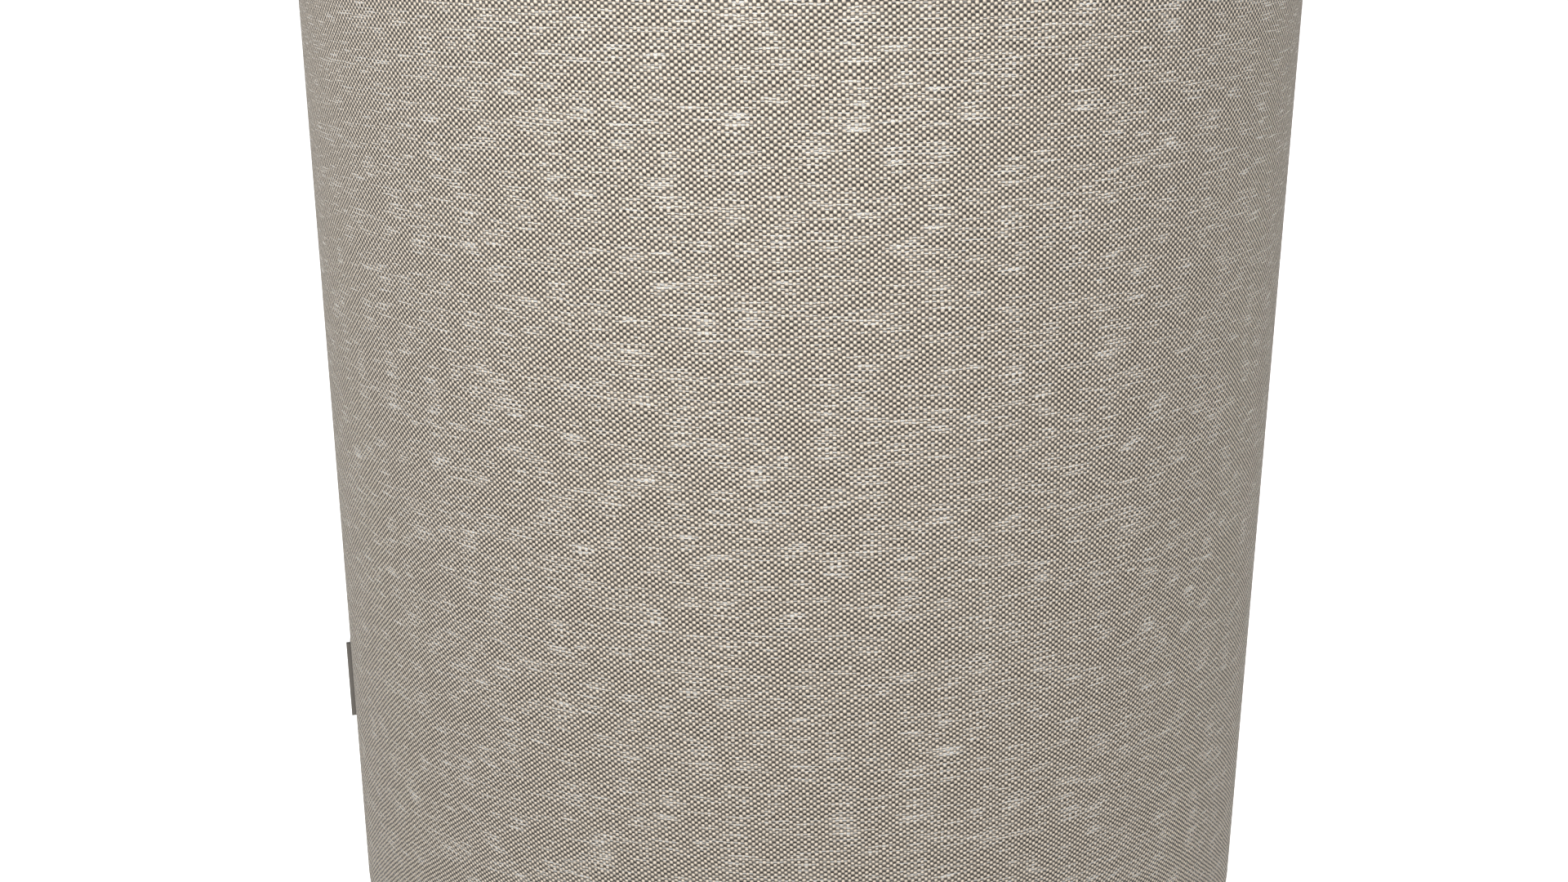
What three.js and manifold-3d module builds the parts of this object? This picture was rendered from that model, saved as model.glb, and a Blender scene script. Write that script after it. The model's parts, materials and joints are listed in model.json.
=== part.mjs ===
// A free-standing smart speaker: a cloth-covered upright cylinder with a button panel on top, a badge on the
// front, a mains inlet at the back and a rubber foot. Inside are a power supply, an acoustic enclosure with a
// woofer, a tweeter and a passive radiator, a main board and a control board.
//
// Millimetres, +Z up. The origin is the middle of the foot's underside, and the front (the badge) faces -Y.
// Export: a THREE.Group with one named mesh for each separate piece.

import * as THREE from "three";
import { mergeVertices } from "three/addons/utils/BufferGeometryUtils.js";
import Module from "manifold-3d";

const wasm = await Module();
wasm.setup();

// ---- Driving dimensions --------------------------------------------------------------------------------

const GAP = 0.3; // between pieces that touch
const BODY_SIDES = 40; // sides of the casing's circles
const ROUND_SIDES = 20; // sides of a driver-sized circle
const SMALL_SIDES = 20; // sides of a button-sized circle
const PIN_SIDES = 8; // sides of a screw-sized circle

const BODY_RADIUS = 70; // outside of the cloth
const CLOTH = 1.2; // cloth thickness
const SHELL_WALL = 2.2;
const EDGE_RADIUS = 9.5; // rounding of the cloth's top and bottom edges
const CLOTH_BOTTOM = 3;
const CLOTH_TOP = 188;
const HEM_RADIUS = 58.7; // where the cloth ends, above and below

const SHELL_RADIUS = BODY_RADIUS - CLOTH - GAP;
const SHELL_INSIDE = SHELL_RADIUS - SHELL_WALL;
const SHELL_EDGE = EDGE_RADIUS - CLOTH - GAP;
const SHELL_BOTTOM = CLOTH_BOTTOM + CLOTH + GAP;
const SHELL_TOP = CLOTH_TOP - CLOTH - GAP;
const EDGE_CENTRE = BODY_RADIUS - EDGE_RADIUS; // radius at which both edge roundings are centred
const LOWER_EDGE_Z = CLOTH_BOTTOM + EDGE_RADIUS;
const UPPER_EDGE_Z = CLOTH_TOP - EDGE_RADIUS;

const HOUSING_TOP = 39; // lower housing meets the grille
const GRILLE_TOP = 170; // grille meets the upper ring
const TOTAL_HEIGHT = 190;

const BADGE = { z: 44.3, height: 12.1, halfAngle: 13, proud: 0.15, sunk: 0.7, barProud: 0.68, barWidth: 0.7 };
const REAR = { halfWidth: 16.3, bottom: 15, top: 37, floor: 62.5, sunk: 0.3, rim: 2 };
const INLET = { x: -3.5, z: 26, mouth: 62.3, halfWidth: 8.3, halfHeight: 4.1, depth: 12 };
const RESET = { x: 10, z: 26, radius: 1.6, inner: 54.5, travel: 0.8 };

const PANEL = { radius: 56.2, rimZ: 189.2, faceZ: 188.2, underZ: 186, faceRadius: 44 };
const BUTTON_RING = 31; // distance of the four outer buttons from the axis
const ACTION_RADIUS = 11;
const OUTER_BUTTON_RADIUS = 7.5;
const LIGHT_RING = { inner: 16, outer: 18, depth: 1.2 };

const ENCLOSURE = { bottom: 47, top: 155, radius: 65.7, flat: 38, wall: 3 };
const GASKET = 0.6;
const LID = { bottom: ENCLOSURE.top + 2 * GAP + GASKET, top: ENCLOSURE.top + 2 * GAP + GASKET + 2.8 };
const WOOFER = { z: 86, hole: 31.5, frame: 36 };
const TWEETER = { z: 139, hole: 12.6, frame: 15 };
const RADIATOR = { z: 86 };

const COVER = { radius: 56.2, bottom: 2.4, top: 6.4 };
const FOOT = { inner: 45.5, outer: 54.5, tongue: 0.8 };
const SCREW_RING = 38;
const POWER_BOARD_Z = 19.1;
const MAIN_BOARD_Z = 163;
const CONTROL_BOARD_Z = 179;
const BOARD = 1.6; // circuit board thickness
const CHASSIS = { floor: 173.5, floorTop: 175.5, wallInner: 59, radius: 61.5, top: 184 };

// ---- Materials -----------------------------------------------------------------------------------------

const paint = (color, roughness, metalness = 0) =>
  new THREE.MeshStandardMaterial({ color, roughness, metalness });
const CLOTH_PAINT = paint(0xb0a698, 0.95);
const DARK_PLASTIC = paint(0x3a3835, 0.6);
const BLACK_PLASTIC = paint(0x1f1f20, 0.55);
const PALE_PLASTIC = paint(0xe8e6e0, 0.4);
const TRIM_METAL = paint(0x65615c, 0.4, 0.8);
const RUBBER = paint(0x2b2a29, 0.85);
const STEEL = paint(0xb9bbbd, 0.3, 0.9);
const BRASS = paint(0xc9a45c, 0.35, 0.9);
const BOARD_GREEN = paint(0x1d4a33, 0.5);
const FERRITE = paint(0x4b4b4e, 0.7, 0.3);
const PAPER = paint(0x2c2c2e, 0.9);
const COPPER = paint(0xb5713e, 0.4, 0.8);
const FOAM = paint(0x6f7073, 1);

// ---- Solids --------------------------------------------------------------------------------------------

const wholeTriangle = (index, i) =>
  index[i] !== index[i + 1] && index[i + 1] !== index[i + 2] && index[i] !== index[i + 2];

function solidOf(geometry) {
  const bare = new THREE.BufferGeometry().setAttribute("position", geometry.getAttribute("position"));
  if (geometry.index) bare.setIndex(geometry.index);
  const merged = mergeVertices(bare, 1e-4);
  const index = merged.index.array;
  const kept = [];
  for (let i = 0; i < index.length; i += 3) {
    if (wholeTriangle(index, i)) kept.push(index[i], index[i + 1], index[i + 2]);
  }
  const mesh = new wasm.Mesh({
    numProp: 3,
    vertProperties: merged.getAttribute("position").array,
    triVerts: new Uint32Array(kept),
  });
  return new wasm.Manifold(mesh);
}

function geometryOf(solid) {
  const { vertProperties, triVerts } = solid.getMesh();
  const geometry = new THREE.BufferGeometry();
  geometry.setAttribute("position", new THREE.BufferAttribute(vertProperties, 3));
  geometry.setIndex(new THREE.BufferAttribute(triVerts, 1));
  geometry.computeVertexNormals();
  return geometry;
}

const combine = (method, first, others) =>
  geometryOf(others.reduce((made, other) => made[method](solidOf(other)), solidOf(first)));
const cut = (base, ...tools) => combine("subtract", base, tools);
const join = (base, ...others) => combine("add", base, others);
const common = (base, other) => combine("intersect", base, [other]);

// A closed loop of [radius, height] points turned about Z. The loop may run either way round.
function revolve(loop, sides = ROUND_SIDES) {
  const points = loop.map(([r, z]) => new THREE.Vector2(r, z));
  if (THREE.ShapeUtils.area(points) < 0) points.reverse();
  points.push(points[0].clone());
  return new THREE.LatheGeometry(points, sides).rotateX(Math.PI / 2);
}

// The same for a piece of the casing, whose circles have more sides.
const revolveCasing = (loop) => revolve(loop, BODY_SIDES);

// A disc or rod about Z, at (x, y).
function rod(radius, bottom, top, { x = 0, y = 0, sides = PIN_SIDES } = {}) {
  const geometry = new THREE.CylinderGeometry(radius, radius, top - bottom, sides);
  return geometry.rotateX(Math.PI / 2).translate(x, y, (bottom + top) / 2);
}

// A disc or rod along Y, centred on (x, z), from y = near to y = far.
function rodAlongY(radius, near, far, { x = 0, z = 0, sides = PIN_SIDES } = {}) {
  return new THREE.CylinderGeometry(radius, radius, far - near, sides).translate(x, (near + far) / 2, z);
}

function block([x0, x1], [y0, y1], [z0, z1]) {
  const geometry = new THREE.BoxGeometry(x1 - x0, y1 - y0, z1 - z0);
  return geometry.translate((x0 + x1) / 2, (y0 + y1) / 2, (z0 + z1) / 2);
}

function prism(shape, bottom, top, curveSegments = 8) {
  const settings = { depth: top - bottom, bevelEnabled: false, curveSegments };
  return new THREE.ExtrudeGeometry(shape, settings).translate(0, 0, bottom);
}

// A wire along a smooth curve through the points.
function wire(radius, points, steps = 24) {
  const section = new THREE.Shape().absarc(0, 0, radius, 0, 2 * Math.PI);
  const curve = new THREE.CatmullRomCurve3(points.map((p) => new THREE.Vector3(...p)));
  return new THREE.ExtrudeGeometry(section, { extrudePath: curve, steps, curveSegments: 3 });
}

// Points of an arc in a profile, from one angle to another, in degrees.
function arc(r, z, radius, from, to, steps = 3) {
  return Array.from({ length: steps + 1 }, (_, i) => {
    const angle = THREE.MathUtils.degToRad(from + ((to - from) * i) / steps);
    return [r + radius * Math.cos(angle), z + radius * Math.sin(angle)];
  });
}

// A slot shape: a rectangle with round ends, centred on the origin.
function stadium(halfWidth, halfHeight) {
  const straight = halfWidth - halfHeight;
  const shape = new THREE.Shape().moveTo(-straight, -halfHeight).lineTo(straight, -halfHeight);
  shape.absarc(straight, 0, halfHeight, -Math.PI / 2, Math.PI / 2, false);
  shape.absarc(-straight, 0, halfHeight, Math.PI / 2, (3 * Math.PI) / 2, false);
  return shape;
}

const turnedAlongY = (geometry) => geometry.rotateX(Math.PI / 2); // local +Z then faces the front, -Y

function piece(name, geometry, material) {
  const mesh = new THREE.Mesh(geometry, material);
  mesh.name = name;
  return mesh;
}

function groupOf(...members) {
  return new THREE.Group().add(...members);
}

// ---- Cloth and casing ----------------------------------------------------------------------------------

// The outline of a drum with rounded edges and flat hems, from the lower hem to the upper one.
function drum(radius, edge, bottom, top, hem) {
  return [
    [hem, bottom],
    ...arc(EDGE_CENTRE, bottom + edge, edge, -90, 0),
    ...arc(EDGE_CENTRE, top - edge, edge, 0, 90),
    [hem, top],
  ];
}

const rearCut = (margin) =>
  block(
    [-REAR.halfWidth - margin, REAR.halfWidth + margin],
    [BODY_RADIUS - 20, BODY_RADIUS + 5],
    [REAR.bottom - margin, REAR.top + margin],
  );

// The curved block that a badge or its pocket fills, between two radii.
function badgeBlock(inner, outer, margin) {
  const half = THREE.MathUtils.degToRad(BADGE.halfAngle) + margin / BODY_RADIUS;
  const shape = new THREE.Shape();
  shape.absarc(0, 0, outer, -Math.PI / 2 - half, -Math.PI / 2 + half, false);
  shape.absarc(0, 0, inner, -Math.PI / 2 + half, -Math.PI / 2 - half, true);
  const halfHeight = BADGE.height / 2 + margin;
  return prism(shape, BADGE.z - halfHeight, BADGE.z + halfHeight, 6);
}

const BADGE_POST_X = 10;
const badgePosts = (radius) =>
  [-BADGE_POST_X, BADGE_POST_X].map((x) =>
    rodAlongY(radius, -BODY_RADIUS + 0.2, -SHELL_INSIDE + 1, { x, z: BADGE.z + 1.5 }),
  );

function fabricSleeve() {
  const outer = drum(BODY_RADIUS, EDGE_RADIUS, CLOTH_BOTTOM, CLOTH_TOP, HEM_RADIUS);
  const inner = drum(
    BODY_RADIUS - CLOTH,
    EDGE_RADIUS - CLOTH,
    CLOTH_BOTTOM + CLOTH,
    CLOTH_TOP - CLOTH,
    HEM_RADIUS,
  );
  const pocket = badgeBlock(BODY_RADIUS - BADGE.sunk, BODY_RADIUS + 3, GAP);
  const sleeve = revolveCasing([...outer, ...inner.reverse()]);
  return piece("fabric_sleeve", cut(sleeve, rearCut(GAP), pocket, ...badgePosts(1.2 + GAP)), CLOTH_PAINT);
}

function badge() {
  const inner = BODY_RADIUS - BADGE.sunk + GAP;
  const plate = badgeBlock(inner, BODY_RADIUS + BADGE.proud, 0);
  const height = [BADGE.z - BADGE.height / 2, BADGE.z + BADGE.height / 2];
  const endBars = [-1, 1].map((side) =>
    block([0, BADGE.barWidth], [-BODY_RADIUS - BADGE.barProud, -inner], height)
      .translate(side > 0 ? -BADGE.barWidth : 0, 0, 0)
      .rotateZ(THREE.MathUtils.degToRad(side * BADGE.halfAngle)),
  );
  return piece("badge", join(plate, ...endBars, ...badgePosts(1.2)), TRIM_METAL);
}

const GRILLE_COLUMNS = 20;
const GRILLE_ROWS = 2;
const GRILLE_FIRST = 57; // lowest slot's lower end
const SLOT = { width: 13, height: 50, rib: 6 };

function grilleShell() {
  const tube = revolveCasing([
    [SHELL_RADIUS, HOUSING_TOP + GAP],
    [SHELL_RADIUS, GRILLE_TOP],
    [SHELL_INSIDE, GRILLE_TOP],
    [SHELL_INSIDE, HOUSING_TOP + GAP],
  ]);
  const slots = [];
  for (let row = 0; row < GRILLE_ROWS; row++) {
    const bottom = GRILLE_FIRST + row * (SLOT.height + SLOT.rib);
    for (let column = 0; column < GRILLE_COLUMNS / 2; column++) {
      const angle = (column * 2 * Math.PI) / GRILLE_COLUMNS;
      const slot = block([-SLOT.width / 2, SLOT.width / 2], [-80, 80], [bottom, bottom + SLOT.height]);
      slots.push(slot.rotateZ(angle));
    }
  }
  const posts = [-BADGE_POST_X, BADGE_POST_X].map((x) =>
    rodAlongY(1.2 + GAP, -BODY_RADIUS, -BODY_RADIUS + 10, { x, z: BADGE.z + 1.5 }),
  );
  return piece("grille_shell", cut(tube, ...slots, ...posts), DARK_PLASTIC);
}

function upperRing() {
  const inner = SHELL_EDGE - SHELL_WALL;
  return piece(
    "upper_ring",
    revolveCasing([
      [SHELL_RADIUS, GRILLE_TOP + GAP],
      ...arc(EDGE_CENTRE, UPPER_EDGE_Z, SHELL_EDGE, 0, 90),
      [HEM_RADIUS, SHELL_TOP],
      [HEM_RADIUS, SHELL_TOP - SHELL_WALL],
      ...arc(EDGE_CENTRE, UPPER_EDGE_Z, inner, 90, 0),
      [SHELL_INSIDE, GRILLE_TOP + GAP],
    ]),
    DARK_PLASTIC,
  );
}

const FLANGE = { inner: 32, bottom: 6.7, top: 8.9 };
const SCREW_ANGLES = [45, 135, 225, 315];
const onRing = (radius, degrees) => {
  const angle = THREE.MathUtils.degToRad(degrees);
  return { x: radius * Math.cos(angle), y: radius * Math.sin(angle) };
};
const POWER_POSTS = [
  [-42, -24],
  [42, -24],
  [-42, 28],
  [42, 28],
];

const BRACKET_ANGLES = [20, 160, 200, 340];

// A bracket on the housing's wall that the acoustic enclosure stands on.
function bracket(degrees) {
  const root = block([57, SHELL_INSIDE + 1], [-5, 5], [28, HOUSING_TOP - 1]);
  const shelf = block([57, SHELL_INSIDE - 1.2], [-5, 5], [28, ENCLOSURE.bottom - GAP]);
  return join(root, shelf).rotateZ(THREE.MathUtils.degToRad(degrees));
}

function lowerHousing() {
  const bowl = revolveCasing([
    [FLANGE.inner, FLANGE.bottom],
    [COVER.radius + GAP, FLANGE.bottom],
    [COVER.radius + GAP, SHELL_BOTTOM],
    ...arc(EDGE_CENTRE, LOWER_EDGE_Z, SHELL_EDGE, -90, 0),
    [SHELL_RADIUS, HOUSING_TOP],
    [SHELL_INSIDE, HOUSING_TOP],
    [SHELL_INSIDE, LOWER_EDGE_Z + 1.5],
    [EDGE_CENTRE + 1.5, FLANGE.top],
    [FLANGE.inner, FLANGE.top],
  ]);
  const bosses = SCREW_ANGLES.map((a) => rod(4.2, FLANGE.top - 1, 18, onRing(SCREW_RING, a)));
  const posts = POWER_POSTS.map(([x, y]) => rod(3, FLANGE.top - 1, POWER_BOARD_Z - GAP, { x, y }));
  const holes = SCREW_ANGLES.map((a) => rod(1.8, FLANGE.bottom - 1, 19, onRing(SCREW_RING, a)));
  const solid = join(bowl, ...bosses, ...posts, ...BRACKET_ANGLES.map(bracket));
  return piece("lower_housing", cut(solid, ...holes, rearCut(GAP)), DARK_PLASTIC);
}

// ---- Base ----------------------------------------------------------------------------------------------

const HEAD = { radius: 3, bottom: 2.9, top: 4.3 };

function baseCover() {
  const disc = rod(COVER.radius, COVER.bottom, COVER.top, { sides: BODY_SIDES });
  const groove = revolveCasing([
    [FOOT.inner, COVER.bottom - 1],
    [FOOT.outer, COVER.bottom - 1],
    [FOOT.outer, COVER.bottom + 1.6],
    [FOOT.inner, COVER.bottom + 1.6],
  ]);
  const counterbores = SCREW_ANGLES.map((a) => rod(3.4, COVER.bottom - 1, 4.6, onRing(SCREW_RING, a)));
  const holes = SCREW_ANGLES.map((a) => rod(1.8, COVER.bottom - 1, COVER.top + 1, onRing(SCREW_RING, a)));
  return piece("base_cover", cut(disc, groove, ...counterbores, ...holes), BLACK_PLASTIC);
}

function footRing() {
  const shoulder = COVER.bottom - GAP;
  const tongueTop = COVER.bottom + 1.3;
  const profile = [
    [FOOT.inner + 1, 0],
    [FOOT.outer - 1, 0],
    [FOOT.outer, 1],
    [FOOT.outer, shoulder],
    [FOOT.outer - FOOT.tongue, shoulder],
    [FOOT.outer - FOOT.tongue, tongueTop],
    [FOOT.inner + FOOT.tongue, tongueTop],
    [FOOT.inner + FOOT.tongue, shoulder],
    [FOOT.inner, shoulder],
    [FOOT.inner, 1],
  ];
  return piece("foot_ring", revolveCasing(profile), RUBBER);
}

function baseScrew(number, degrees) {
  const { x, y } = onRing(SCREW_RING, degrees);
  const head = rod(HEAD.radius, HEAD.bottom, HEAD.top, { x, y });
  const slot = rod(1.2, HEAD.bottom - 1, HEAD.bottom + 0.9, { x, y, sides: 6 });
  const shank = rod(1.5, HEAD.top - 0.2, 16, { x, y });
  return piece(`base_screw_${number}`, cut(join(head, shank), slot), STEEL);
}

// ---- Rear panel and inlet ------------------------------------------------------------------------------

const PANEL_FLOOR = 2; // thickness of the rear panel's floor

function rearPanel() {
  const outside = rod(BODY_RADIUS - REAR.sunk, REAR.bottom, REAR.top, { sides: 96 });
  const depth = [REAR.floor - PANEL_FLOOR, BODY_RADIUS + 5];
  const body = block([-REAR.halfWidth, REAR.halfWidth], depth, [REAR.bottom, REAR.top]);
  const inside = REAR.halfWidth - REAR.rim;
  const recess = block([-inside, inside], [REAR.floor, 90], [REAR.bottom + REAR.rim, REAR.top - REAR.rim]);
  const window = turnedAlongY(prism(stadium(9.3 + GAP, 5 + GAP), -80, -40)).translate(INLET.x, 0, INLET.z);
  const pinhole = rodAlongY(RESET.radius + GAP, 50, 80, { x: RESET.x, z: RESET.z });
  return piece("rear_panel", cut(common(body, outside), recess, window, pinhole), BLACK_PLASTIC);
}

const PIN_X = 4.3; // each contact pin's distance from the inlet's middle
const PIN_RADIUS = 1.2;

function powerInlet() {
  const across = (halfWidth, halfHeight, near, far) =>
    turnedAlongY(prism(stadium(halfWidth, halfHeight), -far, -near, 5));
  const body = across(9.3, 5, 46, INLET.mouth);
  const flange = block([-10.3, 10.3], [57.6, REAR.floor - PANEL_FLOOR - GAP], [-6.4, 6.4]);
  const cavity = across(INLET.halfWidth, INLET.halfHeight, INLET.mouth - INLET.depth, INLET.mouth + 1);
  const pinHoles = [-PIN_X, PIN_X].map((x) => rodAlongY(PIN_RADIUS + GAP, 40, 55, { x }));
  const geometry = cut(join(body, flange), cavity, ...pinHoles);
  return piece("power_inlet", geometry.translate(INLET.x, 0, INLET.z), BLACK_PLASTIC);
}

function inletPin(name, side) {
  const shaft = rodAlongY(PIN_RADIUS, 43, 59, { x: INLET.x + side * PIN_X, z: INLET.z });
  return piece(name, shaft, BRASS);
}

function resetButton() {
  const place = { x: RESET.x, z: RESET.z };
  const stem = rodAlongY(RESET.radius, RESET.inner, REAR.floor - 0.6, place);
  const collar = rodAlongY(RESET.radius + 1.2, 57.5, REAR.floor - PANEL_FLOOR - GAP, place);
  return piece("reset_button", join(stem, collar), PALE_PLASTIC);
}

function resetSwitch() {
  const half = 3;
  const face = RESET.inner - GAP - RESET.travel;
  const height = [POWER_BOARD_Z + BOARD + GAP, RESET.z + half];
  const body = block([RESET.x - half, RESET.x + half], [face - 4, face], height);
  return piece("reset_switch", body, BLACK_PLASTIC);
}

// ---- Top panel and buttons -----------------------------------------------------------------------------

function trimRing() {
  const neck = HEM_RADIUS - GAP;
  return piece(
    "trim_ring",
    revolveCasing([
      [PANEL.radius + GAP, CHASSIS.top + 0.4],
      [neck, CHASSIS.top + 0.4],
      [neck, CLOTH_TOP + GAP],
      [61.4, CLOTH_TOP + GAP],
      [61.4, CLOTH_TOP + 1.1],
      [60.6, TOTAL_HEIGHT],
      [57.2, TOTAL_HEIGHT],
      [PANEL.radius + GAP, TOTAL_HEIGHT - 0.5],
    ]),
    TRIM_METAL,
  );
}

const OUTER_BUTTONS = [
  { name: "volume_up_button", degrees: 0, mark: "plus" },
  { name: "mic_mute_button", degrees: 90, mark: "none" },
  { name: "volume_down_button", degrees: 180, mark: "minus" },
  { name: "source_button", degrees: 270, mark: "none" },
];
const MICROPHONE_RING = 38;
const MICROPHONE_ANGLES = [45, 135, 225, 315];
const SKIRT = { inner: 53.5, bottom: 181 };

function controlPanel() {
  const plate = revolveCasing([
    [0, PANEL.underZ],
    [SKIRT.inner, PANEL.underZ],
    [SKIRT.inner, SKIRT.bottom],
    [PANEL.radius - 0.6, SKIRT.bottom],
    [PANEL.radius - 0.6, 183],
    [PANEL.radius, 184.6],
    [PANEL.radius, PANEL.rimZ],
    [50, PANEL.rimZ],
    [PANEL.faceRadius, PANEL.faceZ],
    [0, PANEL.faceZ],
  ]);
  const through = [PANEL.underZ - 1, PANEL.faceZ + 1];
  const groove = revolve([
    [LIGHT_RING.inner - GAP, PANEL.faceZ - LIGHT_RING.depth],
    [LIGHT_RING.outer + GAP, PANEL.faceZ - LIGHT_RING.depth],
    [LIGHT_RING.outer + GAP, PANEL.faceZ + 1],
    [LIGHT_RING.inner - GAP, PANEL.faceZ + 1],
  ]);
  const buttonHoles = OUTER_BUTTONS.map(({ degrees }) =>
    rod(OUTER_BUTTON_RADIUS + GAP, ...through, { ...onRing(BUTTON_RING, degrees), sides: SMALL_SIDES }),
  );
  const actionHole = rod(ACTION_RADIUS + GAP, ...through, { sides: SMALL_SIDES });
  const microphones = MICROPHONE_ANGLES.map((degrees) =>
    rod(0.8, ...through, { ...onRing(MICROPHONE_RING, degrees), sides: 8 }),
  );
  return piece("control_panel", cut(plate, groove, actionHole, ...buttonHoles, ...microphones), DARK_PLASTIC);
}

function lightRing() {
  const bottom = PANEL.faceZ - LIGHT_RING.depth + GAP;
  return piece(
    "light_ring",
    revolve([
      [LIGHT_RING.inner, bottom],
      [LIGHT_RING.outer, bottom],
      [LIGHT_RING.outer, PANEL.faceZ],
      [LIGHT_RING.inner, PANEL.faceZ],
    ]),
    PALE_PLASTIC,
  );
}

const BUTTON = { top: 188.6, flangeTop: 185.7, flangeBottom: 184.7, stemBottom: 183.8, flange: 1.4 };
const SWITCH = { bottom: CONTROL_BOARD_Z + BOARD + GAP, top: 182.9, half: 3 };

// A cap with a retaining flange under the panel and a stem over its switch, in its own frame.
function buttonCap(radius) {
  return revolve(
    [
      [0, BUTTON.stemBottom],
      [2, BUTTON.stemBottom],
      [2, BUTTON.flangeBottom],
      [radius + BUTTON.flange, BUTTON.flangeBottom],
      [radius + BUTTON.flange, BUTTON.flangeTop],
      [radius, BUTTON.flangeTop],
      [radius, BUTTON.top - 0.4],
      [radius - 0.6, BUTTON.top],
      [radius - 2.4, BUTTON.top - 0.1],
      [0, BUTTON.top - 0.3],
    ],
    SMALL_SIDES,
  );
}

const MARK = { long: 2.6, wide: 0.35, deep: 0.35 };

function markCuts(mark) {
  const z = [BUTTON.top - 0.3 - MARK.deep, BUTTON.top + 1];
  const flat = block([-MARK.long, MARK.long], [-MARK.wide, MARK.wide], z);
  const upright = block([-MARK.wide, MARK.wide], [-MARK.long, MARK.long], z);
  return { plus: [flat, upright], minus: [flat], none: [] }[mark];
}

function buttons() {
  const outer = OUTER_BUTTONS.map(({ name, degrees, mark }) => {
    const cap = cut(buttonCap(OUTER_BUTTON_RADIUS), ...markCuts(mark));
    const { x, y } = onRing(BUTTON_RING, degrees);
    return piece(name, cap.translate(x, y, 0), DARK_PLASTIC);
  });
  return [piece("action_button", buttonCap(ACTION_RADIUS), DARK_PLASTIC), ...outer];
}

function buttonSwitches() {
  const places = [{ name: "action_button", x: 0, y: 0 }];
  OUTER_BUTTONS.forEach(({ name, degrees }) => places.push({ name, ...onRing(BUTTON_RING, degrees) }));
  return places.map(({ name, x, y }) => {
    const body = block([x - SWITCH.half, x + SWITCH.half], [y - SWITCH.half, y + SWITCH.half], [
      SWITCH.bottom,
      SWITCH.top - 0.5,
    ]);
    const plunger = rod(1.6, SWITCH.top - 1, SWITCH.top, { x, y });
    return piece(name.replace("button", "switch"), join(body, plunger), BLACK_PLASTIC);
  });
}

const LIGHT_COUNT = 8;

function controlBoard() {
  const disc = rod(52, CONTROL_BOARD_Z, CONTROL_BOARD_Z + BOARD, { sides: ROUND_SIDES });
  const top = CONTROL_BOARD_Z + BOARD - 0.2;
  const lights = Array.from({ length: LIGHT_COUNT }, (_, i) => {
    const { x, y } = onRing((LIGHT_RING.inner + LIGHT_RING.outer) / 2, (360 * (i + 0.5)) / LIGHT_COUNT);
    return block([x - 1, x + 1], [y - 1, y + 1], [top, top + 1.2]);
  });
  const microphones = MICROPHONE_ANGLES.map((a) => {
    const { x, y } = onRing(MICROPHONE_RING, a);
    return block([x - 2, x + 2], [y - 1.5, y + 1.5], [top, top + 1.4]);
  });
  const connector = block([-8, 8], [-14, -10], [CONTROL_BOARD_Z - 2, CONTROL_BOARD_Z + 0.2]);
  return piece("control_board", join(disc, ...lights, ...microphones, connector), BOARD_GREEN);
}

const CHASSIS_POSTS = [30, 150, 270].map((a) => onRing(46, a));
const RIBBON = { y: -12, halfWidth: 6, thickness: 0.5 };

function topChassis() {
  const tray = revolve([
    [0, CHASSIS.floor],
    [CHASSIS.radius, CHASSIS.floor],
    [CHASSIS.radius, CHASSIS.top],
    [CHASSIS.wallInner, CHASSIS.top],
    [CHASSIS.wallInner, CHASSIS.floorTop],
    [0, CHASSIS.floorTop],
  ]);
  const posts = CHASSIS_POSTS.map((place) => rod(2.6, CHASSIS.floorTop - 1, CONTROL_BOARD_Z - GAP, place));
  const slot = block([-8, 8], [RIBBON.y - 2.5, RIBBON.y + 2.5], [CHASSIS.floor - 1, CHASSIS.floorTop + 1]);
  return piece("top_chassis", cut(join(tray, ...posts), slot), BLACK_PLASTIC);
}

function controlRibbon() {
  const section = new THREE.Shape();
  section.moveTo(-RIBBON.halfWidth, -RIBBON.thickness / 2).lineTo(RIBBON.halfWidth, -RIBBON.thickness / 2);
  section.lineTo(RIBBON.halfWidth, RIBBON.thickness / 2).lineTo(-RIBBON.halfWidth, RIBBON.thickness / 2);
  const bottom = MAIN_BOARD_Z + BOARD + 1.5 + GAP;
  const top = CONTROL_BOARD_Z - 2 - GAP;
  const path = new THREE.CatmullRomCurve3(
    [
      [0, RIBBON.y, bottom],
      [0, RIBBON.y, bottom + 2],
      [0, RIBBON.y - 1, (bottom + top) / 2],
      [0, RIBBON.y, top - 1],
      [0, RIBBON.y, top],
    ].map((p) => new THREE.Vector3(...p)),
  );
  const strip = new THREE.ExtrudeGeometry(section, { extrudePath: path, steps: 8 });
  return piece("control_ribbon", strip, PALE_PLASTIC);
}

// ---- Electronics ---------------------------------------------------------------------------------------

function mainBoard() {
  const disc = rod(55, MAIN_BOARD_Z, MAIN_BOARD_Z + BOARD, { sides: ROUND_SIDES });
  const top = MAIN_BOARD_Z + BOARD - 0.2;
  const chips = [
    block([-20, -4], [8, 24], [top, top + 1.6]),
    block([4, 16], [10, 22], [top, top + 1.4]),
    block([22, 40], [-10, 10], [top, top + 3]),
    block([-42, -30], [-8, 4], [top, top + 5]),
    block([-42, -30], [8, 20], [top, top + 5]),
    block([-8, 8], [-14, -10], [top, top + 1.7]),
  ];
  return piece("main_board", join(disc, ...chips), BOARD_GREEN);
}

function heatSink() {
  const bottom = MAIN_BOARD_Z + BOARD + 1.4 + GAP;
  const plate = block([-22, 18], [6, 26], [bottom, bottom + 1.6]);
  const fins = Array.from({ length: 8 }, (_, i) => {
    const x = -22 + (i * (40 - 1.2)) / 7;
    return block([x, x + 1.2], [6, 26], [bottom + 1, bottom + 6]);
  });
  return piece("heat_sink", join(plate, ...fins), STEEL);
}

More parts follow.
